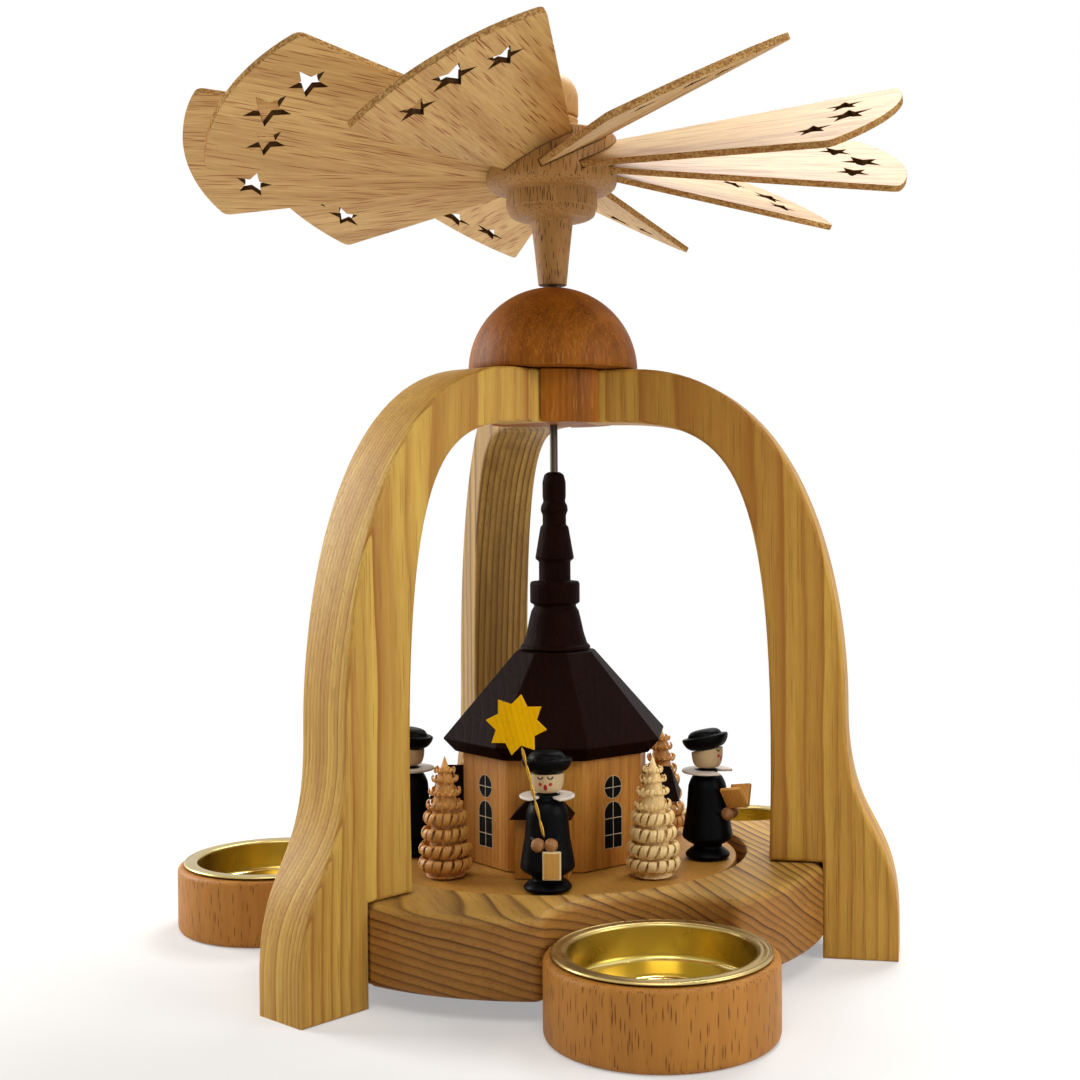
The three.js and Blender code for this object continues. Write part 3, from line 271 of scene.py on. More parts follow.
def timber_group():
    """Solid wood, in millimetres, with the grain along Z. The growth rings are cylinders round the
    pith. With m for the pith's distance from the origin, the age of the wood at the distance d is
    (d / m) ^ (1 + narrowing) m / (ring width (1 + narrowing)), d with a slow wobble. The fraction
    of a year runs from pale spring wood to dark summer wood, and each whole year has a tone of its
    own. Fibres and broad streaks are noises drawn out along the grain. Flecks are the long cells of
    a pattern stretched the same way, of which a share is kept."""
    group = bpy.data.node_groups.new("timber", "ShaderNodeTree")
    for direction, kind, names in (
            ("INPUT", "Vector", "Vector"),
            ("INPUT", "Float", "Pith X,Pith Y,Ring Width,Wobble,Ring Strength,Narrowing,"
             "Year Strength,Fibre Strength,Streak Strength,Fleck Length,Fleck Width,Fleck Share,"
             "Fleck Strength"),
            ("INPUT", "Color", "Pale,Dark,Fleck"),
            ("OUTPUT", "Color", "Color"), ("OUTPUT", "Float", "Height,Roughness")):
        for name in names.split(","):
            group.interface.new_socket(name, in_out=direction, socket_type="NodeSocket" + kind)
    given = group.nodes.new("NodeGroupInput").outputs
    place = given["Vector"]

    def luck(number):
        return Number(node(group, "ShaderNodeTexWhiteNoise", {"W": number},
                           noise_dimensions="1D").outputs["Value"])

    wobble = (noise(place, (0.05, 0.05, 0.014)) - 0.5) * given["Wobble"]
    x, y, _ = map(Number, node(group, "ShaderNodeSeparateXYZ", {0: place}).outputs)
    pith_x, pith_y = Number(given["Pith X"]), Number(given["Pith Y"])
    out, middle = reach(x - pith_x, y - pith_y), reach(pith_x, pith_y)
    power = Number(given["Narrowing"]) + 1.0
    age = ((out + wobble) / middle) ** power * (middle / (power * given["Ring Width"]))
    year = age.step("FLOOR")
    ramp = node(group, "ShaderNodeValToRGB", {0: age.step("FRACT")})
    ramp.color_ramp.elements[0].color = (0.35, 0.35, 0.35, 1)
    ramp.color_ramp.elements[1].color = (0.6, 0.6, 0.6, 1)
    for spot, shade in ((0.07, 0.05), (0.35, 0.05), (0.7, 0.4), (0.92, 1.0)):
        ramp.color_ramp.elements.new(spot).color = (shade, shade, shade, 1)
    ring = Number(ramp.outputs[0]) * (luck(year) * 0.5 + 0.5)
    coarse = noise(place, (1.6, 1.6, 0.05), 3.0)
    fine = noise(place, (7.0, 7.0, 0.25))
    broad = noise(place, (0.22, 0.22, 0.009), 3.0)
    fibre = coarse * 0.45 + fine * 0.4
    streak = fibre * 0.8 + (broad - 0.5) * given["Streak Strength"]
    wide, long = given["Fleck Width"], given["Fleck Length"]
    cell = node(group, "ShaderNodeCombineXYZ", {0: wide, 1: wide, 2: long}).outputs[0]
    cell = node(group, "ShaderNodeVectorMath", {0: place, 1: cell}, operation="DIVIDE").outputs[0]
    spot = node(group, "ShaderNodeTexVoronoi", {"Vector": cell, "Scale": 0.5}).outputs
    kept = Number(node(group, "ShaderNodeSeparateColor", {0: spot["Color"]}).outputs[0])
    speck = Number(spot["Distance"]).ramp(0.38, 0.2) * (kept < given["Fleck Share"])
    tone = (ring * given["Ring Strength"]).step(
        "ADD", luck(year + 0.5) * given["Year Strength"], clamp=True)
    dull = streak.step("SUBTRACT", 0.22, clamp=True) * (Number(given["Fibre Strength"]) * 3.0)
    body = dull.mix(tone.mix(given["Pale"], given["Dark"]), given["Dark"])
    node(group, "NodeGroupOutput", {
        "Color": (speck * given["Fleck Strength"]).mix(body, given["Fleck"]),
        "Height": fibre * 0.5 - (speck * 0.6 + ring * 0.3),
        "Roughness": fibre * 0.25 + 0.42})
    return group


TIMBER = timber_group()


def skinned(tree, height, strength, depth, inputs):
    """A Principled surface with those inputs, under a relief of that height."""
    relief = node(tree, "ShaderNodeBump", {"Height": height, "Strength": strength,
                                           "Distance": depth})
    skin = node(tree, "ShaderNodeBsdfPrincipled", {**inputs, "Normal": relief.outputs[0]})
    node(tree, "ShaderNodeOutputMaterial", {"Surface": skin.outputs[0]})


def timber(name, colours, pith, rings, fibre, flecks, narrowing=0.0, year=0.15, streak=0.45,
           bump=0.25, shine=0.25):
    """A wood: its pale, dark and fleck colours, the pith's place across the grain, the rings'
    width, wobble and strength, the fibres' strength, and the flecks' length, width, share and
    strength."""
    made = bpy.data.materials.new(name)
    tree = cleared(made)
    given = (grain(tree), *pith, *rings, narrowing, year, fibre, streak, *flecks,
             *map(tint, colours.split()))
    wood = node(tree, "ShaderNodeGroup", dict(enumerate(given)), node_tree=TIMBER).outputs
    skinned(tree, wood["Height"], bump, 0.0004, {
        "Base Color": wood["Color"], "Roughness": wood["Roughness"], "Specular IOR Level": shine})
    return made


ARCH_HEADINGS = {"arch_back": 90, "arch_left": 210, "arch_right": -30}
CUP_HEADINGS = {"front": -90, "right": 30, "left": 150}
ARCH_WIDTH = 16.0
BOARD_TOP, BOARD_FOOT, RECESS_FLOOR = 23.2, 5.0, 15.7
RIM, RECESS, SEAT = 69.0, 48.5, 68.0
CUP_REACH, BITE, HORN = 77.3, 25.3, 3.0
BEARING, BEARING_FOOT = 4.0, 10.7


def arc(radius, a, x=0.0, y=0.0):
    """Points (x + r cos a, y + r sin a) of a circle about (x, y)."""
    return np.stack([x + radius * np.cos(a), y + radius * np.sin(a)], -1)


def rim_outline(steps=24):
    """The rim: for each cup, a horn arc, the bite's arc the other way, a horn arc and the round rim
    up to the next horn. A horn's centre lies on a circle about the axis and on one about the cup.
    Where an arch stands, the rim is drawn in to a flat."""
    near, far = RIM - HORN, BITE + HORN

    def corner(a, b):
        return math.acos((a * a + CUP_REACH ** 2 - b * b) / (2 * a * CUP_REACH))

    horn, sweep = corner(near, far), corner(far, near)
    arcs = []
    for degrees in sorted(CUP_HEADINGS.values()):
        cup = math.radians(degrees)
        for centre, radius, start, end, share in (
                (arc(near, cup - horn), HORN, cup - horn, cup + sweep, 0.5),
                (arc(CUP_REACH, cup), BITE, cup + math.pi + sweep, cup + math.pi - sweep, 2),
                (arc(near, cup + horn), HORN, cup - sweep, cup + horn, 0.5),
                ((0, 0), RIM, cup + horn, cup + 2 * math.pi / 3 - horn, 6)):
            a = np.linspace(start, end, int(steps * share), endpoint=False)
            arcs.append(arc(radius, a, *centre))
    outline = np.vstack(arcs)
    for degrees in ARCH_HEADINGS.values():
        local = swung(np.hstack([outline, outline[:, :1] * 0]), -degrees)
        seated = (np.abs(local[:, 1]) < ARCH_WIDTH / 2 + 0.3) & (local[:, 0] > SEAT)
        outline = outline * np.where(seated, SEAT / np.maximum(local[:, 0], SEAT), 1)[:, None]
    return outline


def unit(vectors):
    """The vectors, each at length 1."""
    return vectors / np.linalg.norm(vectors, axis=-1, keepdims=True)


def outwards(loop):
    """At each point of a closed outline, the sum of the unit vectors square to its two edges."""
    along = unit(np.roll(loop, -1, 0) - loop) + unit(loop - np.roll(loop, 1, 0))
    return np.stack([along[:, 1], -along[:, 0]], 1)


def base_points():
    """The board as rows of points that each go once round. The inner rows are circles: the floor of
    the bearing's bore, its wall, the floor and wall of the recess. The outer rows follow the rim,
    drawn in by a quarter round at the top and bottom edges: inset e (1 - sin a), drop e (1 - cos a)
    for a from 0 to 90 degrees."""
    rim = rim_outline()
    normal, circle = unit(outwards(rim)), unit(rim)
    bore, bore_foot = BEARING + 0.3, BEARING_FOOT - 0.3
    rows = [(circle * r, z) for r, z in (
        (0, bore_foot), (bore, bore_foot), (bore, RECESS_FLOOR), (RECESS - 0.4, RECESS_FLOOR),
        (RECESS, RECESS_FLOOR + 0.4), (RECESS, BOARD_TOP - 0.9), (RECESS + 0.15, BOARD_TOP - 0.4),
        (RECESS + 0.6, BOARD_TOP - 0.08), (RECESS + 1.0, BOARD_TOP))]
    for ease, level, side in ((2.2, BOARD_TOP, 1), (1.6, BOARD_FOOT, -1)):
        rows += [(rim - normal * ease * (1 - math.sin(a)), level - side * ease * (1 - math.cos(a)))
                 for a in np.linspace(0, math.pi / 2, 7)[::side]]
    rows.append((circle * 0, BOARD_FOOT))
    points = np.stack([np.hstack([xy, np.full((len(xy), 1), z)]) for xy, z in rows])
    return points.reshape(-1, 3), net(len(rows), len(rim))


def placed(material):
    """The three numbers of a point's place in the wood, in a material's tree."""
    tree = material.node_tree
    return list(map(Number, node(tree, "ShaderNodeSeparateXYZ", {0: grain(tree)}).outputs))


def shaded(material, colour, share, mode="MIX"):
    """Mixes or multiplies a share of a colour into a material's own."""
    own = material.node_tree.nodes["Principled BSDF"].inputs["Base Color"]
    first = own.links[0].from_socket if own.links else tuple(own.default_value)
    material.node_tree.links.new(share.mix(first, tint(colour), mode), own)


base_ash = timber(
    "base_ash", "d0a34f 4c240b 885723", (-75, 141), (1.9, 3.5, 0.95), 0.35, (4, 0.3, 0.35, 0.35),
    narrowing=0.7, bump=0.5)

# Painted shade: the sawn rim and the recess walls, below the planed top, are darkened.
below = placed(base_ash)[1].ramp(-BOARD_TOP + 0.2, -BOARD_TOP + 1.9)
shaded(base_ash, "dcc4b6", below, "MULTIPLY")
points, faces = base_points()
solid("base_board_ash", points, faces, base_ash, "base_board", "base_ash",
      points[:, [0, 2, 1]] * (1, -1, 1))

# Arches. Three flat boards of ash, sawn to the curve with the grain upright and their edges eased.
# The rings lie in the thickness of the board, so the curved edges are finely striped and the flats
# show broad bands.
SPRING, CROWN = 131.4, 144.5


def curve(p, a, b, q, steps=40):
    """A curve from p to q drawn towards a and b: (1-t)^3 p + 3t(1-t)^2 a + 3t^2(1-t) b + t^3 q."""
    t = np.linspace(0, 1, steps)[:, None]
    p, a, b, q = (np.array(v, float) for v in (p, a, b, q))
    return (1 - t) ** 3 * p + 3 * t * (1 - t) ** 2 * a + 3 * t * t * (1 - t) * b + t ** 3 * q


def board(loops, thickness, ease, steps=4):
    """A flat board from outlines in its plane, the outer one anticlockwise and holes clockwise. A
    quarter round of that ease is carried round each outline on both faces: inset e (1 - sin a) and
    drop e (1 - cos a) for a from 0 to 90 degrees. Triangles fill the flats between the outlines."""
    bend = np.linspace(0, math.pi / 2, steps + 1)
    inset = ease * (1 - np.sin(bend))
    level = thickness / 2 - ease * (1 - np.cos(bend))
    inset, level = np.append(inset, inset[::-1]), np.append(level, -level[::-1])
    points, faces, flats, start = [], [], [], 0
    for loop in loops:
        loop = np.asarray(loop, float)
        out = outwards(loop)
        out /= np.maximum((out ** 2).sum(1), 0.8)[:, None] / 2
        rows = loop[None] - inset[:, None, None] * out[None]
        depth = np.broadcast_to(level[:, None, None], rows.shape[:2] + (1,))
        points.append(np.concatenate([rows, depth], -1).reshape(-1, 3))
        faces += (np.array(net(len(inset), len(loop))) + start).tolist()
        flats.append((start, start + (len(inset) - 1) * len(loop), len(loop)))
        start += len(inset) * len(loop)
    points = np.vstack(points)
    for side in (0, 1):
        number = np.concatenate([np.arange(f[side], f[side] + f[2]) for f in flats])
        rings = [[Vector(p) for p in points[f[side]:f[side] + f[2]]] for f in flats]
        faces += number[np.array(tessellate_polygon(rings))].tolist()
    return points, faces


arch_outline = np.vstack([
    [(10, CROWN), (10, SPRING)],
    curve((10, SPRING), (44.1, SPRING), (58.5, SPRING), (55.3, 23.5))[1:],
    [(68.3, 23.5), (68.3, 0), (86.5, 0)],
    curve((86.5, 7.5), (86.5, 35.1), (74, 29.1), (74, 60.4)),
    curve((74, 60.4), (74, 90), (64.5, CROWN), (21.5, CROWN))[1:]])
points, faces = board([arch_outline], ARCH_WIDTH, 0.9)
points = points[:, [0, 2, 1]] * (1, -1, 1)
for i, (name, pale, dark, width, strength, year, front) in enumerate((
        ("arch_back", "c8a055", "5c3a17", 1.7, 0.95, 0.35, -1),
        ("arch_left", "d4ae50", "93581e", 1.15, 0.7, 0.3, 1),
        ("arch_right", "d6ab4a", "8c4d12", 1.5, 0.55, 0.5, 1))):
    arch_ash = timber(name + "_ash", f"{pale} {dark} 7d5520", (42, -70), (width, 1.6, strength),
                      0.6, (9, 0.25, 0.5, 0.4), year=year, streak=0.6)
    solid(name + "_board", swung(points, ARCH_HEADINGS[name]), faces, arch_ash, name, "arch_ash",
          points * (1, front, 1) + (0, 0, 300 * i), flat=True)

# Core and dome. A turned block of beech with three slots for the arches, and a half ball on it,
# both stained a warm red-brown and waxed.
CORE, SLOT_END, SLOT_SIDE, RUN = 16.0, 9.7, 8.55, 1.6
DOME, DOME_FOOT = 21.5, 144.8


def turned(profile, facets=96, loop=False, start=0.0):
    """A piece from the lathe: point (i, j) lies at the profile's radius i and height i, swung by
    j / facets of a turn about the axis."""
    profile = np.asarray(profile, float)
    swing = math.radians(start) + np.linspace(0, 2 * math.pi, facets, endpoint=False)
    radius, height = profile[:, :1], profile[:, 1:2]
    points = np.stack([radius * np.cos(swing), radius * np.sin(swing), height + 0 * swing], -1)
    return points.reshape(-1, 3), net(len(profile), facets, loop)


def circle(radius, steps):
    """Points once round a circle, anticlockwise."""
    return arc(radius, np.linspace(0, 2 * math.pi, steps, endpoint=False))


step = math.degrees(math.asin(SLOT_SIDE / CORE))
edge = CORE * math.cos(math.radians(step))
sectors = []
for heading in sorted(ARCH_HEADINGS.values()):
    sectors.append(swung([(edge, -SLOT_SIDE, 0), (SLOT_END, -SLOT_SIDE, 0),
                          (SLOT_END, SLOT_SIDE, 0), (edge, SLOT_SIDE, 0)], heading)[:, :2])
    sector = np.linspace(heading + step, heading + 120 - step, 24)[1:-1]
    sectors.append(arc(CORE, np.radians(sector)))
# Painted sheen: the beech's own flecks are drawn light gold, as the glint of its fibres.
crown_beech = timber(
    "crown_beech", "a86316 4e2203 cf9440", (30, -50), (2.4, 6, 0.15), 0.85, (3, 0.2, 0.45, 0.35),
    shine=0.14)
points, faces = board([np.vstack(sectors), circle(RUN, 32)[::-1]], CROWN - SPRING, 0.4)
points = points + (0, 0, (CROWN + SPRING) / 2)
solid("arch_core_beech", points, faces, crown_beech, "arch_core", "crown_beech", flat=True)

ball = arc(DOME, np.linspace(0.045, math.acos(RUN / DOME), 40), 0, DOME_FOOT)
points, faces = turned([(RUN, DOME_FOOT), (DOME - 1, DOME_FOOT), (DOME - 0.25, DOME_FOOT + 0.25),
                        *ball], 128, True)
solid("dome_cap_beech", points, faces, crown_beech, "dome_cap", "crown_beech", points + (0, 0, 200))

# Tealight cups. Turned from beech, with the short dark rays of the wood standing upright, and each
# lined with a spun brass well: a rolled rim on the cup, a satin wall and a smoother ringed floor,
# painted pale as a reflection.
CUP, CUP_TOP, WELL, WELL_FLOOR, FLANGE = 25.0, 16.9, 19.8, 8.4, 23.5
cup_beech = timber(
    "cup_beech", "ba7e32 955c21 602e0b", (60, -80), (4, 5, 0.35), 0.45, (2.6, 0.24, 0.55, 0.85))


def eased(profile, ease, steps=4, loop=False):
    """Rounds the corners of an outline: each becomes a curve (1-t)^2 a + 2t(1-t) p + t^2 b from the
    point a on the edge before the corner p to b on the edge after it, at the distance ease, or less
    than half the edge. An open outline keeps its ends."""
    p = np.asarray(profile, float)
    back, on = np.roll(p, 1, 0) - p, np.roll(p, -1, 0) - p
    near, far = (np.linalg.norm(v, axis=1, keepdims=True) for v in (back, on))
    ease = np.broadcast_to(np.reshape(ease, (-1, 1)), near.shape)
    a = p + back / near * np.minimum(ease, 0.45 * near)
    b = p + on / far * np.minimum(ease, 0.45 * far)
    t = np.linspace(0, 1, steps + 1)[None, :, None]
    bends = (1 - t) ** 2 * a[:, None] + 2 * t * (1 - t) * p[:, None] + t ** 2 * b[:, None]
    if loop:
        bends = bends.reshape(-1, p.shape[1])
    else:
        bends = np.vstack([p[:1], bends[1:-1].reshape(-1, p.shape[1]), p[-1:]])
    apart = np.linalg.norm(bends - np.roll(bends, 1, 0), axis=1) > 1e-5
    return bends[apart | (np.arange(len(bends)) == 0) & (not loop)]


def metal(name, colour, roughness, rings=0.2, bright_below=-1000.0):
    """Bare metal with a slightly uneven polish, brighter below a height, and the fine rings of the
    lathe as a bump."""
    made = bpy.data.materials.new(name)
    tree = cleared(made)
    cloud = noise(grain(tree), 0.12)
    worn = placed(made)[2].ramp(bright_below, bright_below + 0.4, 0.4, 1.0)
    line = Number(node(tree, "ShaderNodeTexWave", {"Vector": grain(tree), "Scale": 2.2},
                       wave_type="RINGS", rings_direction="Z").outputs["Fac"])
    skinned(tree, cloud + line * rings, 0.06, 0.0001, {
        "Base Color": tint(colour), "Metallic": 1.0,
        "Roughness": cloud.ramp(0.3, 0.7, roughness * 0.8, roughness * 1.25) * worn})
    return made


# The floor is smoother, and painted pale as a painted reflection of the bright room. The rim is
# painted a greyer, paler brass.
SHEEN_FLOOR_TOP, GREY_RIM_FOOT = WELL_FLOOR + 1.7, 17.1
liner_brass = metal("liner_brass", "a08738", 0.3, 0.2, SHEEN_FLOOR_TOP)
height = placed(liner_brass)[2]
shaded(liner_brass, "ead88c", height.ramp(SHEEN_FLOOR_TOP, SHEEN_FLOOR_TOP + 0.4, 1.0, 0.0))
shaded(liner_brass, "b5a067", height.ramp(GREY_RIM_FOOT, GREY_RIM_FOOT + 0.4))
cup_profile = eased([(0, 0), (CUP, 0), (CUP, CUP_TOP), (20.7, CUP_TOP), (20.7, 3.9), (0, 3.9)],
                    [0, 1.8, 1.6, 0.4, 0.4, 0], 8)
well_profile = eased([
    (0, 4.2), (20.4, 4.2), (20.4, 17.2), (FLANGE - 0.2, 17.2), (FLANGE, 17.55), (FLANGE - 0.45, 18),
    (22.3, 17.75), (20.9, 17.95), (WELL + 0.1, 17.6), *[(r, WELL_FLOOR + up) for r, up in (
        (WELL, 2.2), (WELL - 1, 1.3), (13.4, 0), (12.6, 0.5), (10.8, 0.5), (10, 0), (8.6, 0),
        (7.8, 0.5), (6.2, 0.5), (5.4, 0), (0, 0))]], 0.7, 5)
for side, heading in CUP_HEADINGS.items():
    foot = swung([(CUP_REACH, 0, 0)], heading)
    for part, profile, material, slot, shift in (
            ("candle_cup", cup_profile, cup_beech, "cup_beech", heading),
            ("brass_liner", well_profile, liner_brass, "liner_brass", 0)):
        points, faces = turned(profile, 128)
        solid(f"{part}_{side}_turned", points + foot, faces, material, f"{part}_{side}", slot,
              points + (0, 0, shift))

# Spindle and bearing. A pointed steel rod that turns in a small brass cup in the base board, and
# carries the rotor above and the turning table below.
HUB_FOOT = 166.8
solid("spindle_rod", *turned(eased([(0, 13.4), (1, 15.8), (1, HUB_FOOT + 22), (0, HUB_FOOT + 22)],
                                   [0, 0.4, 0.15, 0]), 32),
      metal("spindle_steel", "4d463e", 0.3), "spindle", "spindle_steel")
solid("bearing_cup_brass", *turned(eased([
    (0, BEARING_FOOT), (BEARING, BEARING_FOOT), (BEARING, RECESS_FLOOR), (2.8, RECESS_FLOOR),
    (0, 13.1)], [0, 0.3, 0.3, 0.2, 0]), 48),
    metal("bearing_brass", "a98a3c", 0.3), "bearing_cup", "bearing_brass")

# Rotor. A turned hub of beech with ten sawn slots, a knob on top, and ten plywood blades in the
# slots, each pierced with three stars.
BORE, STEM, BAND_FOOT, BAND = 1.3, 16.3, 19.2, 11.6
DRUM, DRUM_FOOT, DRUM_TOP = 16.6, 26.3, 37.4
BLADE_LEVEL = HUB_FOOT + (DRUM_FOOT + DRUM_TOP) / 2
ROTOR_TURN, PITCH, BLADE, BLADE_REACH = 23, 26.5, 1.6, 91.0
hub_beech = timber(
    "hub_beech", "ac7f45 7e5226 42200a", (25, -45), (2.5, 4, 0.2), 0.45, (2.6, 0.22, 0.85, 0.9))


def merged(*parts):
    """Several shells of points and faces as one."""
    starts = np.cumsum([0] + [len(p) for p, _ in parts])
    faces = [[n + start for n in f] for start, (_, part) in zip(starts.tolist(), parts)
             for f in part]
    return np.vstack([p for p, _ in parts]), faces


def sawn(body, tool):
    """What is left of a solid when another is cut out of it, by an exact Boolean modifier."""
    pair = [shown("sawn", closed("sawn", *shell, 1e-4)) for shell in (body, tool)]
    saw = pair[0].modifiers.new("saw", "BOOLEAN")
    saw.operation, saw.solver, saw.object = "DIFFERENCE", "EXACT", pair[1]
    whole = pair[0].evaluated_get(bpy.context.evaluated_depsgraph_get()).to_mesh()
    points = np.zeros(3 * len(whole.vertices))
    whole.vertices.foreach_get("co", points)
    faces = [list(p.vertices) for p in whole.polygons]
    for made in pair:
        bpy.data.objects.remove(made)
    return points.reshape(-1, 3), faces


def blade_outline(grow=0.0, steps=28):
    """A blade in its own plane, grown by the fit: straight sides from the root to the tip, a tip
    arc centre + R (cos a, sin a), and a rounded corner between them."""
    root, bow, tip, narrow = DRUM - 3 - grow, 46.0, 23.5, 9.4
    half = math.asin(tip / bow)
    a = np.linspace(-half, half, steps)
    edge = arc(bow + grow, a, BLADE_REACH - bow)
    keep = edge[np.abs(a) < half - 2 / bow]
    rounding = np.zeros(len(keep) + 4)
    rounding[[1, -2]] = 2.0
    return eased(np.vstack([(root, -narrow - grow), edge[-1] * (1, -1), keep, edge[-1],
                            (root, narrow + grow)]), rounding, 5, True)


def star_outline(x, y, tip, waist, points, start=180.0):
    """A star about (x, y): its tips and notches lie at the two radii by turns, clockwise."""
    n = np.arange(2 * points)
    return arc(np.where(n % 2, waist, tip), math.radians(start) - n * math.pi / points, x, y)


def pitched(points, i):
    """Points of a blade, or of its slot, in their place in the hub."""
    return swung(swung(points, PITCH, "X"), ROTOR_TURN + 36 * i) + (0, 0, BLADE_LEVEL)


block, sides = turned(np.vstack([
    [(BORE, 0), (3.5, 0), (3.6, 0.1), (4.4, 8), (5.3, STEM - 0.4), (5.7, STEM)],
    curve((5.9, STEM), (9.2, STEM + 0.1), (11.1, STEM + 0.9), (11.1, BAND_FOOT - 0.6), 14),
    eased([(11.1, -0.5), (11.1, -0.1), (BAND, 0.2), (BAND, 3.9), (12, 3.95)], 0.25, 3)
    + (0, BAND_FOOT),
    curve((12.4, 4), (15.2, 4.2), (DRUM, 5.4), (DRUM, 7.3), 14) + (0, BAND_FOOT),
    [(DRUM, DRUM_TOP - 0.7), (DRUM - 0.2, DRUM_TOP - 0.2), (DRUM - 0.7, DRUM_TOP),
     (2.7, DRUM_TOP), (2.7, DRUM_TOP - 3.3), (0, DRUM_TOP - 3.3), (0, 22.3), (BORE, 22.3)]]),
    128, True)
slot, cuts = board([blade_outline(0.3)], BLADE + 0.6, 0.01, 1)
solid("rotor_hub_turned", *sawn((block + (0, 0, HUB_FOOT), sides), merged(*[
    (pitched(slot, i), cuts) for i in range(10)])), hub_beech, "rotor_hub", "hub_beech")

KNOB, COLLAR = 6.9, 42.1
# Painted light: the knob gets a paler copy of the hub's beech, for the light falling on it at the
# top.
knob_beech_painted_lit = timber(
    "knob_beech_painted_lit", "d2a566 9c6d38 6b3a1a", (25, -45), (2.5, 4, 0.2), 0.45, (2, 0.15, 0.5, 0.6))
points, faces = turned(np.vstack([
    [(0, DRUM_TOP - 3), (2.4, DRUM_TOP - 3), (2.4, 39.2), (KNOB - 0.9, 39.2)],
    eased([(KNOB - 0.6, 39.3), (KNOB, COLLAR - 0.4), (KNOB - 0.3, COLLAR), (KNOB - 1, COLLAR),
           (KNOB - 1, COLLAR + 0.5), (KNOB - 0.2, COLLAR + 0.5), (KNOB, COLLAR + 0.9)], 0.2, 3),
    arc(KNOB, np.linspace(0, math.pi / 2, 24), 0, 47)]))
solid("finial_knob_turned", points + (0, 0, HUB_FOOT), faces, knob_beech_painted_lit, "finial_knob",
      "hub_beech", points + (0, 0, 400))

blade_plywood = timber(
    "blade_plywood", "d8b476 94622a 8c4817", (30, -200), (9, 14, 0.3), 0.8, (7, 0.26, 0.7, 0.9))

# The laser leaves the cut edges dull, brown and speckled. The walls of the stars are darker still:
# partly burn and partly painted shade inside the holes. The stars have their place behind the tip
# and beside the middle, and their size. Each blade comes from another length of the board, a step
# further along the grain.
STARS = ((10.5, 0, 5.7), (15.3, -10.6, 4.7), (15.3, 10.6, 4.7))
GRAIN_STEP = 130
x, deep, z = placed(blade_plywood)
edge = abs(deep).ramp(0.7, 0.77, 1.0, 0.0)
dulled = edge * -0.25 + 0.25
tree = blade_plywood.node_tree
tree.links.new(dulled.socket, tree.nodes["Principled BSDF"].inputs["Specular IOR Level"])
speck = noise(grain(tree), 1.6, 3.0).ramp(0.42, 0.6, 0.15, 0.75)
shaded(blade_plywood, "7d4f28", edge * speck)
along = z.step("MODULO", GRAIN_STEP)
starred = (along < BLADE_REACH - 4.4) * (along > BLADE_REACH - 20.6) * (abs(x) < 15.8)
# Painted shade, with the burn: the walls of the stars are darkened.
shaded(blade_plywood, "2e170a", edge * starred * 0.92)
points, faces = board([blade_outline()] + [
    star_outline(BLADE_REACH - back, y, tip, 0.42 * tip, 5) for back, y, tip in STARS],
    BLADE, 0.15, 3)
for i in range(10):
    solid(f"blade_plywood_{i + 1:02d}", pitched(points, i), faces, blade_plywood,
          f"blade_{i + 1:02d}", "blade_plywood",
          points[:, [1, 2, 0]] + (0, 0, GRAIN_STEP * i), flat=True)

# Turning table. A plain disc of pale beech with its edge eased. It lies in the base board's recess
# and carries the church, the trees and the figures.
TABLE_TOP, TABLE_FOOT, TABLE = 21.7, 16.7, 46.0
table_beech = timber(
    "table_beech", "b5853a 926122 734716", (40, -160), (5, 9, 0.35), 0.35, (1.6, 0.25, 0.35, 0.4))


def oblong(x, y, far_x, far_y):
    """The corners of an oblong, anticlockwise from the first of two opposite ones."""
    return [(x, y), (far_x, y), (far_x, far_y), (x, far_y)]


points, faces = turned(eased(oblong(BORE, TABLE_FOOT, TABLE, TABLE_TOP), [0.2, 0.7, 0.7, 0.2], 5,
                             True), 160, True)
solid("turntable_disc", points, faces, table_beech, "turntable", "table_wood",
      points[:, [0, 2, 1]] * (1, -1, 1))

# Church. One eight-sided block with four porches, its windows painted on, under a dark stained
# roof. Each porch has a small hipped roof, and a spire turned in one piece stands on top.
TABLE_TURN, GROUND = -113.5, TABLE_TOP + 0.3
WALL_TOP, ROOF_FOOT, ROOF_TOP = 49.0, 49.3, 73.9
CHURCH, WALL = 24.2, 22.36
PORCH_FRONT, PORCH_HALF, PORCH_TOP = 29.36, 6.5, GROUND + 14.2
church_pine = timber(
    "church_wood", "c98c38 8c4c12 7a4213", (12, -60), (2.6, 5, 0.45), 0.8, (1.6, 0.2, 0.4, 0.4))


def based(points, turn=0.0):
    """Points laid out on the turning table, turned about the spindle."""
    return swung(points, TABLE_TURN + turn)


walls, sides = board([eased(arc(CHURCH, np.radians(np.arange(22.5, 360, 45))), 0.25, 3, True),
                      circle(BORE, 24)[::-1]], WALL_TOP - GROUND, 0.1)
porch, fronts = board([eased(oblong(15, -PORCH_HALF, PORCH_FRONT, PORCH_HALF), 0.25, 3, True)],
                      PORCH_TOP - GROUND, 0.1)
points, faces = merged(
    (walls + (0, 0, (WALL_TOP + GROUND) / 2), sides),
    *[(swung(porch, 90 * i) + (0, 0, (PORCH_TOP + GROUND) / 2), fronts) for i in range(4)])
solid("church_block", based(points), faces, church_pine, "church_body", "church_wood", points,
      flat=True)


def paint(name, colour, rough, shine=0.4):
    """Brushed paint over wood: a faint cloud in its colour and shine, and fine strokes."""
    made = bpy.data.materials.new(name)
    tree = cleared(made)
    cloud = noise(grain(tree), 0.9, 4.0)
    light = [min(1, c * 1.12 + 0.001) for c in tint(colour)]
    skinned(tree, noise(grain(tree), (3.0, 3.0, 0.6)), 0.15, 0.0002, {
        "Base Color": cloud.mix(tint(colour), light), "Specular IOR Level": shine,
        "Roughness": cloud.ramp(0.3, 0.7, rough * 0.85, rough * 1.15)})
    return made


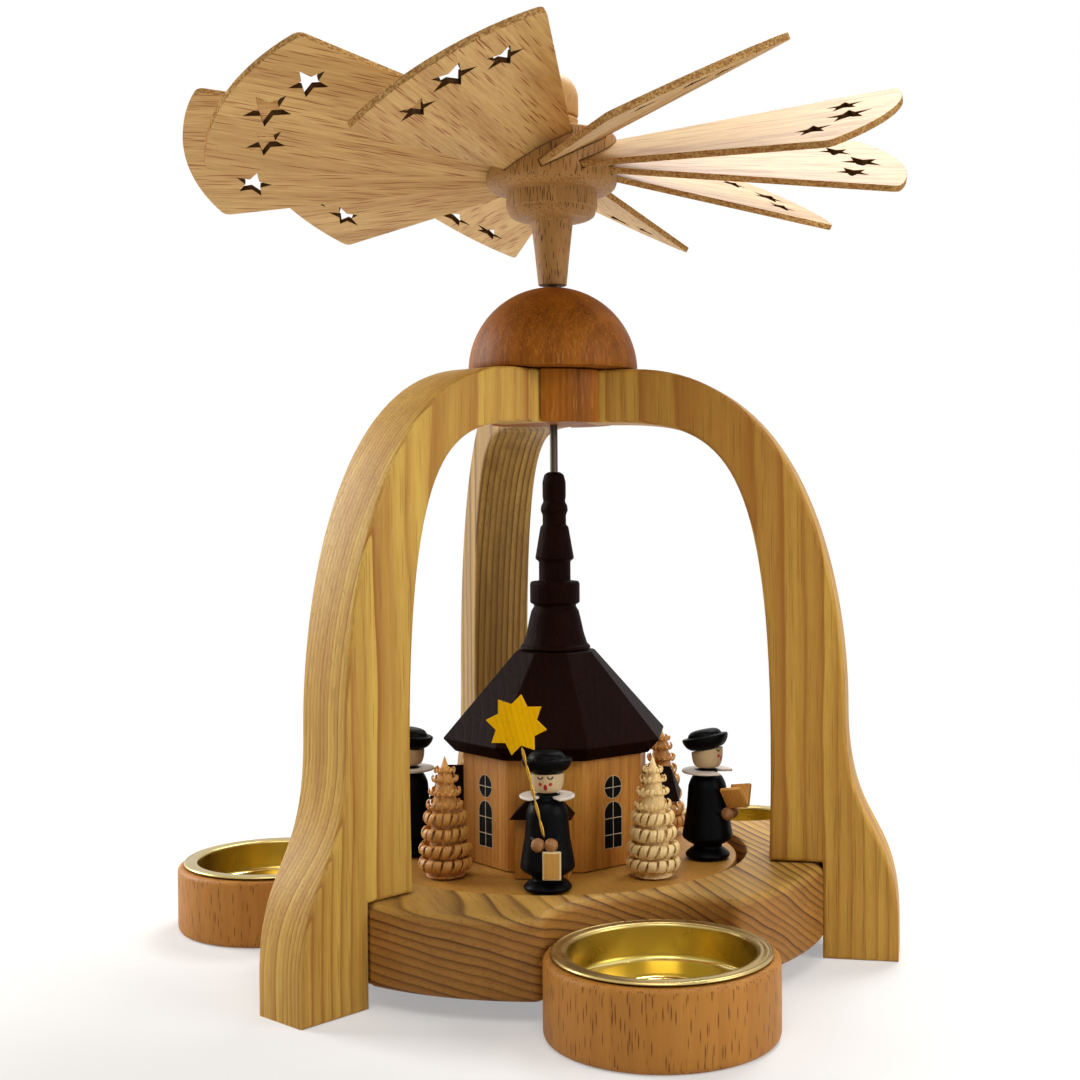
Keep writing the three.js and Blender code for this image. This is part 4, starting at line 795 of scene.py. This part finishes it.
def pane_outline(half, foot, top, oval, grow=0.0):
    """A window: an oval, or straight sides under a half circle."""
    if oval:
        return circle(1, 40) * (half + grow, (top - foot) / 2 + grow) + (0, (foot + top) / 2)
    return np.vstack([(-half - grow, foot - grow), (half + grow, foot - grow),
                      arc(half + grow, np.linspace(0, math.pi, 20), 0, top - half)])


def upright(shell, shift=(0, 0, 0)):
    """A board set upright, to face +X, and shifted."""
    return shell[0][:, [2, 0, 1]] + shift, shell[1]


LINE, FILM = 0.2, 0.05
panes, lines = [], []
for half, foot, top, oval, bars in ((2.65, 38.9, 44.4, True, (41.6,)),
                                    (2.7, 26.7, 38.0, False, (34.0, 29.95))):
    inside = pane_outline(half, foot, top, oval)
    panes.append(board([inside], FILM, 0.01, 1))
    lines.append(board([pane_outline(half, foot, top, oval, 0.13), inside[::-1]], FILM, 0.01, 1))
    strips = [oblong(-half, z - LINE / 2, half, z + LINE / 2) for z in bars]
    strips.append(oblong(-LINE / 2, foot, LINE / 2, top))
    lines += [board([strip], 2 * FILM, 0.01, 1) for strip in strips]
for name, shells, finish, slot in (
        ("window_black", panes, paint("window_black", "060607", 0.35, 0.05), "coat_lacquer"),
        ("window_lines", lines, paint("window_lines", "b9a88c", 0.5), "church_wood")):
    side, sides = upright(merged(*shells), (WALL, 0.2, 0))
    points, faces = merged(*[(swung(side, 45 + 90 * i), sides) for i in range(4)])
    solid(name, based(points), faces, finish, "church_body", slot, points, stands_for=False)

roof_stain = timber(
    "roof_stain", "1c0b06 0d0403 060202", (20, -50), (2, 4, 0.4), 0.6, (2, 0.3, 0.3, 0.4), bump=0.5,
    shine=0.02)


def bevelled(made, width):
    """Eases the sharp edges of a piece with flat faces."""
    bevel = made.modifiers.new("eased", "BEVEL")
    bevel.width, bevel.segments, bevel.limit_method = width * MM, 3, "ANGLE"
    bevel.angle_limit, bevel.harden_normals = math.radians(25), True


points, faces = turned([(BORE, ROOF_FOOT), (26.2, ROOF_FOOT), (29.4, 52.7), (10.4, ROOF_TOP),
                        (BORE, ROOF_TOP)], 8, True, 22.5)
bevelled(solid("church_roof_stained", based(points), faces, roof_stain, "church_roof",
               "roof_stain", points, sharp=10), 0.35)

back, front, half = WALL + 0.3, PORCH_FRONT + 2.4, PORCH_HALF + 1
eave, ridge = PORCH_TOP + 0.3, PORCH_TOP + 8.1
hipped = np.array([(back, -half, eave), (back, half, eave), (back, 0, ridge),
                   (front, -half, eave), (front, half, eave), (front - 2.4, 0, ridge)])
hips = [(0, 3, 4, 1), (0, 1, 2), (3, 5, 4), (0, 2, 5, 3), (1, 4, 5, 2)]
for i, side in enumerate(("front", "right", "back", "left")):
    bevelled(solid(f"porch_roof_{side}_stained", based(hipped, 90 * i), hips, roof_stain,
                   f"porch_roof_{side}", "roof_stain", hipped, sharp=10), 0.3)

SPIRE, SPIRE_FOOT, SPIRE_TALL = 8.95, 74.2, 45.3
spire_profile = np.array([
    (1, 0), (1, 0.018), (0.92, 0.03), (0.82, 0.09), (0.745, 0.16), (0.68, 0.215), (0.6, 0.24),
    (0.6, 0.25), (0.71, 0.262), (0.71, 0.37), (0.67, 0.382), (0.452, 0.386), (0.452, 0.494),
    (0.555, 0.51), (0.4, 0.69), (0.335, 0.7), (0.335, 0.757), (0.39, 0.78), (0.37, 0.81),
    (0.308, 0.83), (0.333, 0.86), (0.333, 0.94), (0.28, 0.982)]) * (SPIRE, SPIRE_TALL)
spire_profile = np.vstack([(BORE, 0), spire_profile, (BORE, SPIRE_TALL)]) + (0, SPIRE_FOOT)
solid("spire_turned", *turned(eased(spire_profile, 0.35, 4, True), 96, True), roof_stain, "spire",
      "roof_stain")

# Curled trees. A turned limewood stem on a ten-sided stub. The lathe hand's chisel leaves thin
# shavings on it, ring above ring: fat rolls below, and frills that turn up at the rim above. A ring
# has its height, reach, half height and stem, as shares of the tree's.
TREE_TALL, TREE_REACH, TREE_AWAY = 29.0, 6.4, 35.96
RINGS = ((0.113, 1, 0.056, 0.66), (0.232, 0.985, 0.056, 0.62), (0.363, 0.88, 0.056, 0.56),
         (0.492, 0.8, 0.054, 0.5), (0.6, 0.69, 0.026, 0.46), (0.708, 0.61, 0.022, 0.38),
         (0.81, 0.51, 0.018, 0.3), (0.885, 0.4, 0.014, 0.22))
# Painted light and shade: the front-right tree, which the light reaches, gets a paler copy of the
# wood, and the other three a darker, shaded copy.
shaded_shavings_lime, lit_shavings_lime = (
    timber(name, colours, (9, -14), (0.8, 0.6, 0.3), 0.6, (1.2, 0.12, 0.35, 0.35), shine=0.6)
    for name, colours in (("tree_shavings", "e1a44e 8c5014 6e4214"),
                          ("tree_shavings_painted_lit", "ffe5a4 c08c46 a0732f")))


def shavings(chance, level, rim, half, stem, roll, count, steps=15):
    """One ring of shavings. The middle of a shaving leaves the stem and then runs (r, z) = centre +
    (a cos s, b sin s): right over and back in for a roll, and up at the rim for a frill. Six points
    go round it at each step: both edges and the middle, half a thickness out and in, with the
    middle raised a little, swung to the shaving's place in the ring. Its ends close to a point."""
    t = np.linspace(0, 1, steps)

    def luck(low, high):
        return chance.uniform(low, high, (count, 1))

    if roll:
        s = np.radians(-150 + t * (335 + luck(-25, 25)))
        shrink = 1 - 0.45 * np.clip((t - 0.6) / 0.4, 0, 1)
        wide = (rim - stem) / 2 * luck(0.93, 1.06)
        r = rim - wide + wide * shrink * np.cos(s)
        z = level + half * luck(0.88, 1.05) * shrink * np.sin(s)
        width = 0.88 - 0.1 * np.clip(np.cos(s), 0, 1) - luck(0, 0.12)
    else:
        wide = half * 1.25
        s = np.radians(-90 + np.clip((t - 0.4) / 0.6, 0, 1) * (150 + luck(-35, 35)))
        run = np.clip(t / 0.4, 0, 1)
        tip = rim - wide * 1.1 + luck(-0.12, 0.12)
        r = np.where(t < 0.4, stem - 0.3 + (tip - stem + 0.3) * run, tip + wide * np.cos(s))
        z = level + np.where(t < 0.4, -wide * np.sin(run * math.pi / 2),
                             wide * np.sin(s) * luck(0.9, 1.5))
        width = 0.98 - 0.5 * t - luck(0, 0.12)
    width = (width * math.pi * np.maximum(r, stem) / count)[..., None]
    along = np.stack([np.gradient(r, axis=1), np.gradient(z, axis=1)], -1)
    step = np.linalg.norm(along, axis=-1, keepdims=True)
    thick = np.array([0.02, 0.16, 0.02, -0.16, -0.05, -0.16])
    side = (np.tan(np.radians(luck(2, 22))) * (z - level))[..., None] + (
        width * (-1, 0, 1, 1, 0, -1))
    r = r[..., None] + (along[..., 1:] / step) * thick
    z = z[..., None] - (along[..., :1] / step) * thick
    turn = 2 * math.pi * (np.arange(count) + chance.uniform(-0.1, 0.1, count)) / count
    turn = turn[:, None, None]
    points = np.stack([r * np.cos(turn) - side * np.sin(turn),
                       r * np.sin(turn) + side * np.cos(turn), z], -1)
    bunch = (np.arange(count) * 7.3 + level * 11)[:, None, None]
    fibre = np.stack([side + bunch, thick + 0 * side, np.cumsum(step, 1) + 0 * side], -1)
    for grid in (points, fibre):
        for end in (0, -1):
            grid[:, end] = grid[:, end].mean(1, keepdims=True)
    faces = np.array(net(steps, 6))[None] + (np.arange(count) * steps * 6)[:, None, None]
    return points.reshape(-1, 3), faces.reshape(-1, 4).tolist(), fibre.reshape(-1, 3)


def curled_tree(seed):
    """The stem from the lathe with its stub, and all rings of shavings, from a seed of its own."""
    chance = np.random.default_rng(seed)
    stem, shells = [(0, 0.5), (4.3, 0.5)], []
    for i, (height, out, half, inner) in enumerate(RINGS):
        level, core = height * TREE_TALL, inner * TREE_REACH
        stem += [(core, level - half * 20), (core * 0.97, level + 0.4)]
        shells.append(shavings(chance, level, out * TREE_REACH, half * TREE_TALL, core, i < 4,
                               16 if i < 6 else 12))
    stem += [(1.15, 25.9), (0.95, 26.3), (0, TREE_TALL)]
    stub = [(0, 0), (4.2, 0), (4.7, 0.25), (4.6, 0.8), (4.2, 0.85), (0, 0.85)]
    shells += [(*shell, shell[0]) for shell in (turned(stem, 40), turned(stub, 10))]
    return *merged(*[shell[:2] for shell in shells]), np.vstack([shell[2] for shell in shells])


for i, (side, turn) in enumerate((("front_right", 47), ("back_right", 135), ("back_left", 225),
                                  ("front_left", 319))):
    points, faces, fibre = curled_tree(40 + i)
    spot = based(swung(points, 11 * i) + (TREE_AWAY, 0, GROUND), turn)
    solid(f"tree_{side}_curls", spot, faces, lit_shavings_lime if side == "front_right" else shaded_shavings_lime,
          f"tree_{side}", "tree_shavings", fibre, sharp=50)

# Carol singers and star bearer. Turned limewood, with coats and hats dipped in black lacquer and
# white collars. Heads, hands, books and the song sheet are bare wood, and the faces are painted. A
# figure has its heading and distance on the table, its turn to one side and the tilt of its hat.
COAT, COAT_TALL = 6.35, 21.2
HEAD_FOOT, HEAD_TALL, HAT_SEAT = 22.8, 4.4, 27.5
HAND, HAND_OUT, HAND_SIDE, HAND_LEVEL = 1.6, 6.2, 1.5, 11.7
FIGURES = {"front": (4, 39.4, -3, 1), "right": (84, 39.0, -18, 12), "back": (180, 39.0, 0, 6),
           "left": (276, 37.64, 0, 8)}


def carried(path, radius, sides=16):
    """A round section carried along a path: at each point, radius (cos a, sin a) in the plane
    across the path, spanned by two directions at right angles to the way it runs."""
    way = unit(np.gradient(path, axis=0))
    first = unit(np.cross(way, (0, 1, 0.05)))
    second = np.cross(way, first)
    cos, sin = circle(1, sides).T[..., None]
    round_it = first[:, None] * cos + second[:, None] * sin
    return (path[:, None] + radius[:, None, None] * round_it).reshape(-1, 3), net(len(path), sides)


def spun(shape, size, neck, ease, steps):
    """A turned piece: its outline in shares of its size, under a neck in millimetres."""
    return turned(eased(np.vstack([(0, 0), np.array(shape) * size, neck]), ease, steps), 72)


t = np.linspace(0, 1, 14)[:, None]
arms = [carried((1 - t) ** 2 * (0, side * 3.5, COAT_TALL - 2.6)
                + 2 * t * (1 - t) * (0.7, side * 3.95, COAT_TALL - 8.2)
                + t * t * (HAND_OUT - 1.3, side * HAND_SIDE, HAND_LEVEL),
                1.35 * np.sqrt(np.clip(1 - (2 * t[:, 0] - 1) ** 14, 0, 1))) for side in (1, -1)]
coat = merged(spun([
    (0.8, 0), (0.88, 0.03), (0.88, 0.055), (0.72, 0.1), (0.57, 0.125), (0.57, 0.17), (0.78, 0.19),
    (1, 0.245), (1, 0.28), (0.83, 0.58), (0.75, 0.87), (0.6, 0.97)], (COAT, COAT_TALL),
    [(2.6, COAT_TALL), (2.6, HEAD_FOOT - 0.3), (0, HEAD_FOOT - 0.3)], 0.8, 4), *arms)
ball = spun([(0.71, 0), (0.88, 0.13), (0.97, 0.33), (1, 0.55), (0.98, 1)], (3.95, 6.6),
            [(0, 6.6)], 1.0, 5)
hat = spun([(0.67, 0), (0.85, 0.16), (0.96, 0.4), (1, 0.6), (0.94, 0.67), (0.75, 0.63),
            (0.7, 0.8), (0.58, 0.94), (0.38, 1)], (5.9, 4.8), [(0, 4.8)], 0.6, 4)
a = np.radians(np.linspace(33, 327, 48))
collar, sides = board([np.vstack([arc(6.4, a), arc(2.9, a[::-1])])], 0.7, 0.3)
collar = (collar + (0, 0, COAT_TALL + 0.65), sides)
fist = turned(arc(HAND, np.linspace(-math.pi / 2, math.pi / 2, 17)), 32)
hands = merged(*[upright(fist, (HAND_OUT, side * HAND_SIDE, HAND_LEVEL)) for side in (1, -1)])

# An open book has two leaves a millimetre thick, which lean out from the spine.
SPINE, LEAF, BOOK_TALL, LEAN = 0.8, 5.8, 5.4, math.radians(31)
ahead = np.array((math.cos(LEAN), -math.sin(LEAN)))
tip = LEAF * np.array((math.sin(LEAN), math.cos(LEAN))) + (SPINE, 0)
fold = (ahead[0] - SPINE) / math.tan(LEAN) - ahead[1]
points, sides = upright(board([eased([
    (-SPINE, 0), (SPINE, 0), tip, tip - ahead, (0, fold), (tip - ahead) * (-1, 1), tip * (-1, 1)],
    0.12, 2, True)], BOOK_TALL, 0.12), (BOOK_TALL / 2, 0, 0))
book = (swung(points, -8, "Y") + (HAND_OUT - 0.3, 0, HAND_LEVEL + 1.2), sides)
SHEET, SHEET_TALL, SHEET_SIDE, SHEET_TOP = 2.1, 6.5, 1.75, HAND_LEVEL - HAND + 0.35
sheet = upright(board([eased(oblong(-SHEET, -SHEET_TALL, SHEET, 0), 0.15, 2, True)], 1.0, 0.32),
                (COAT + 0.8, SHEET_SIDE, SHEET_TOP))

lacquer = paint("coat_lacquer", "040405", 0.4, 0.05)
collar_white = paint("collar_paint", "d3c9be", 0.5)
bare_lime, hand_lime, sheet_lime, head_lime = [timber(*wood) for wood in (
    ("figure_wood", "d89f4d ae6f2b 965d24", (4, -7), (0.7, 0.8, 0.5), 0.4, (1, 0.12, 0.3, 0.3)),
    ("hand_wood", "ad7d4e 70441f 6b3d1c", (1, -1.5), (0.45, 0.3, 0.8), 0.4, (0.6, 0.12, 0.3, 0.4)),
    ("sheet_wood", "d2a052 ab752f 965d24", (4, -7), (0.7, 0.8, 0.3), 0.4, (1, 0.12, 0.3, 0.3)),
    ("head_wood", "c9b18b b19164 987549", (4, -30), (0.9, 0.8, 0.25), 0.3, (0.8, 0.1, 0.2, 0.3)))]

# The sheet has a pale border.
BORDER = 0.35
_, y, z = placed(sheet_lime)
border = (abs(y - SHEET_SIDE) > SHEET - BORDER).step(
    "MAXIMUM", abs(z - (SHEET_TOP - SHEET_TALL / 2)) > SHEET_TALL / 2 - BORDER)
shaded(sheet_lime, "e6d2a2", border * 0.8)

# A head's own +X is its front. Its round cheeks, open mouth and the two dots of its nose are ovals:
# half width and height, place, where the paint is full and where it ends, its strength and colour.
# The two shut eyes are the lower halves of rings.
x, y, z = placed(head_lime)
pair, facing = abs(y), x > 0.5
for across, wide, tall, at_y, at_z, full, none, strength, colour in (
        (pair, 0.7, 0.65, 1.17, 2.3, 0.3, 1.0, 0.5, "d98a6a"),
        (pair, 0.44, 0.44, 1.17, 2.3, 0.8, 1.05, 1.0, "a8261f"),
        (y, 0.45, 0.78, 0.0, 1.55, 0.85, 1.05, 1.0, "9c1517"),
        (pair, 0.1, 0.09, 0.33, 2.9, 0.6, 1.3, 1.0, "8a6038")):
    oval = reach((across - at_y) / wide, (z - at_z) / tall).ramp(full, none, strength, 0.0)
    shaded(head_lime, colour, oval * facing)
lid = abs(reach((pair - 1.15) / 0.6, (z - 4.1) / 0.58) - 1.0).ramp(0.2, 0.36, 1.0, 0.0)
shaded(head_lime, "1c1412", lid * (z < 4.08) * facing)


def stood(points, side, height=0.0, tip=0.0):
    """Points of a figure in its place on the table, facing outwards."""
    turn, away, yaw, _ = FIGURES[side]
    local = swung(swung(points, -tip, "Y") + (0, 0, height), yaw)
    return based(local + (away, 0, GROUND), turn)


for side, (_, _, _, tilt) in FIGURES.items():
    kind, held, leaf = (("song_sheet", sheet, sheet_lime) if side == "front" else
                        ("songbook", book, bare_lime))
    top, sides = upright(board([oblong(-8, 0, 8, 9)], 16, 0.01, 1))
    head = sawn(ball, (swung(top, -tilt, "Y") + (0, 0, HEAD_TALL), sides))
    for made, (points, faces), material, part, slot, place, more in (
            ("coat_turned", coat, lacquer, "coat", "coat_lacquer", (), {}),
            ("collar_ring", collar, collar_white, "collar", "collar_paint", (), {"flat": True}),
            ("head_turned", head, head_lime, "head", "figure_wood", (HEAD_FOOT,),
             {"fibre": head[0] - (0, 0, 0.9 * (side == "right"))}),
            ("hat_turned", hat, lacquer, "hat", "coat_lacquer", (HAT_SEAT, tilt), {}),
            (kind + "_lime", held, leaf, kind, "figure_wood", (), {"flat": True}),
            ("hands_lime", hands, hand_lime, kind, "figure_wood", (), {
                "fibre": hands[0][:, [1, 2, 0]] - (0, HAND_LEVEL, 0), "stands_for": False})):
        solid(f"figure_{side}_{made}", stood(points, side, *place), faces, material,
              f"figure_{side}_{part}", slot, **{"fibre": points, **more})

# The star bearer's rod is two brass wires wound round each other, with a cut-out wooden star on
# top, stained yellow.
ROD_LEAN, ROD_TALL, STAR_UP = 13.4, 21.5, 26.6


def raised(points):
    """Points of the rod or the star, leaning to one side out of the star bearer's hands."""
    return stood(swung(points, ROD_LEAN, "X") + (HAND_OUT + 0.2, 0, HAND_LEVEL + HAND), "front")


climb = np.linspace(0, 1, 90)
points, faces = merged(*[
    carried(np.column_stack([arc(0.19, start + climb * 5 * math.pi), climb * ROD_TALL]),
            0.21 * np.minimum(1, 30 * np.minimum(climb, 1 - climb)), 12)
    for start in (0, math.pi)])
solid("star_rod_wires", raised(points), faces, metal("wire_brass", "b08a35", 0.28, 0.0),
      "star_rod", "wire_brass", points)
star_stain = timber(
    "star_stain", "ecb400 b88000 966800", (9, -40), (1.2, 1, 0.35), 0.35, (1, 0.1, 0.3, 0.3),
    shine=0.05)
points, faces = upright(board([star_outline(0, 0, 7.0, 4.8, 8, 202.5)[::-1]], 1.2, 0.15))
solid("star_cut_out", raised(points + (0, 0, STAR_UP)), faces, star_stain, "star", "star_stain",
      points, flat=True)
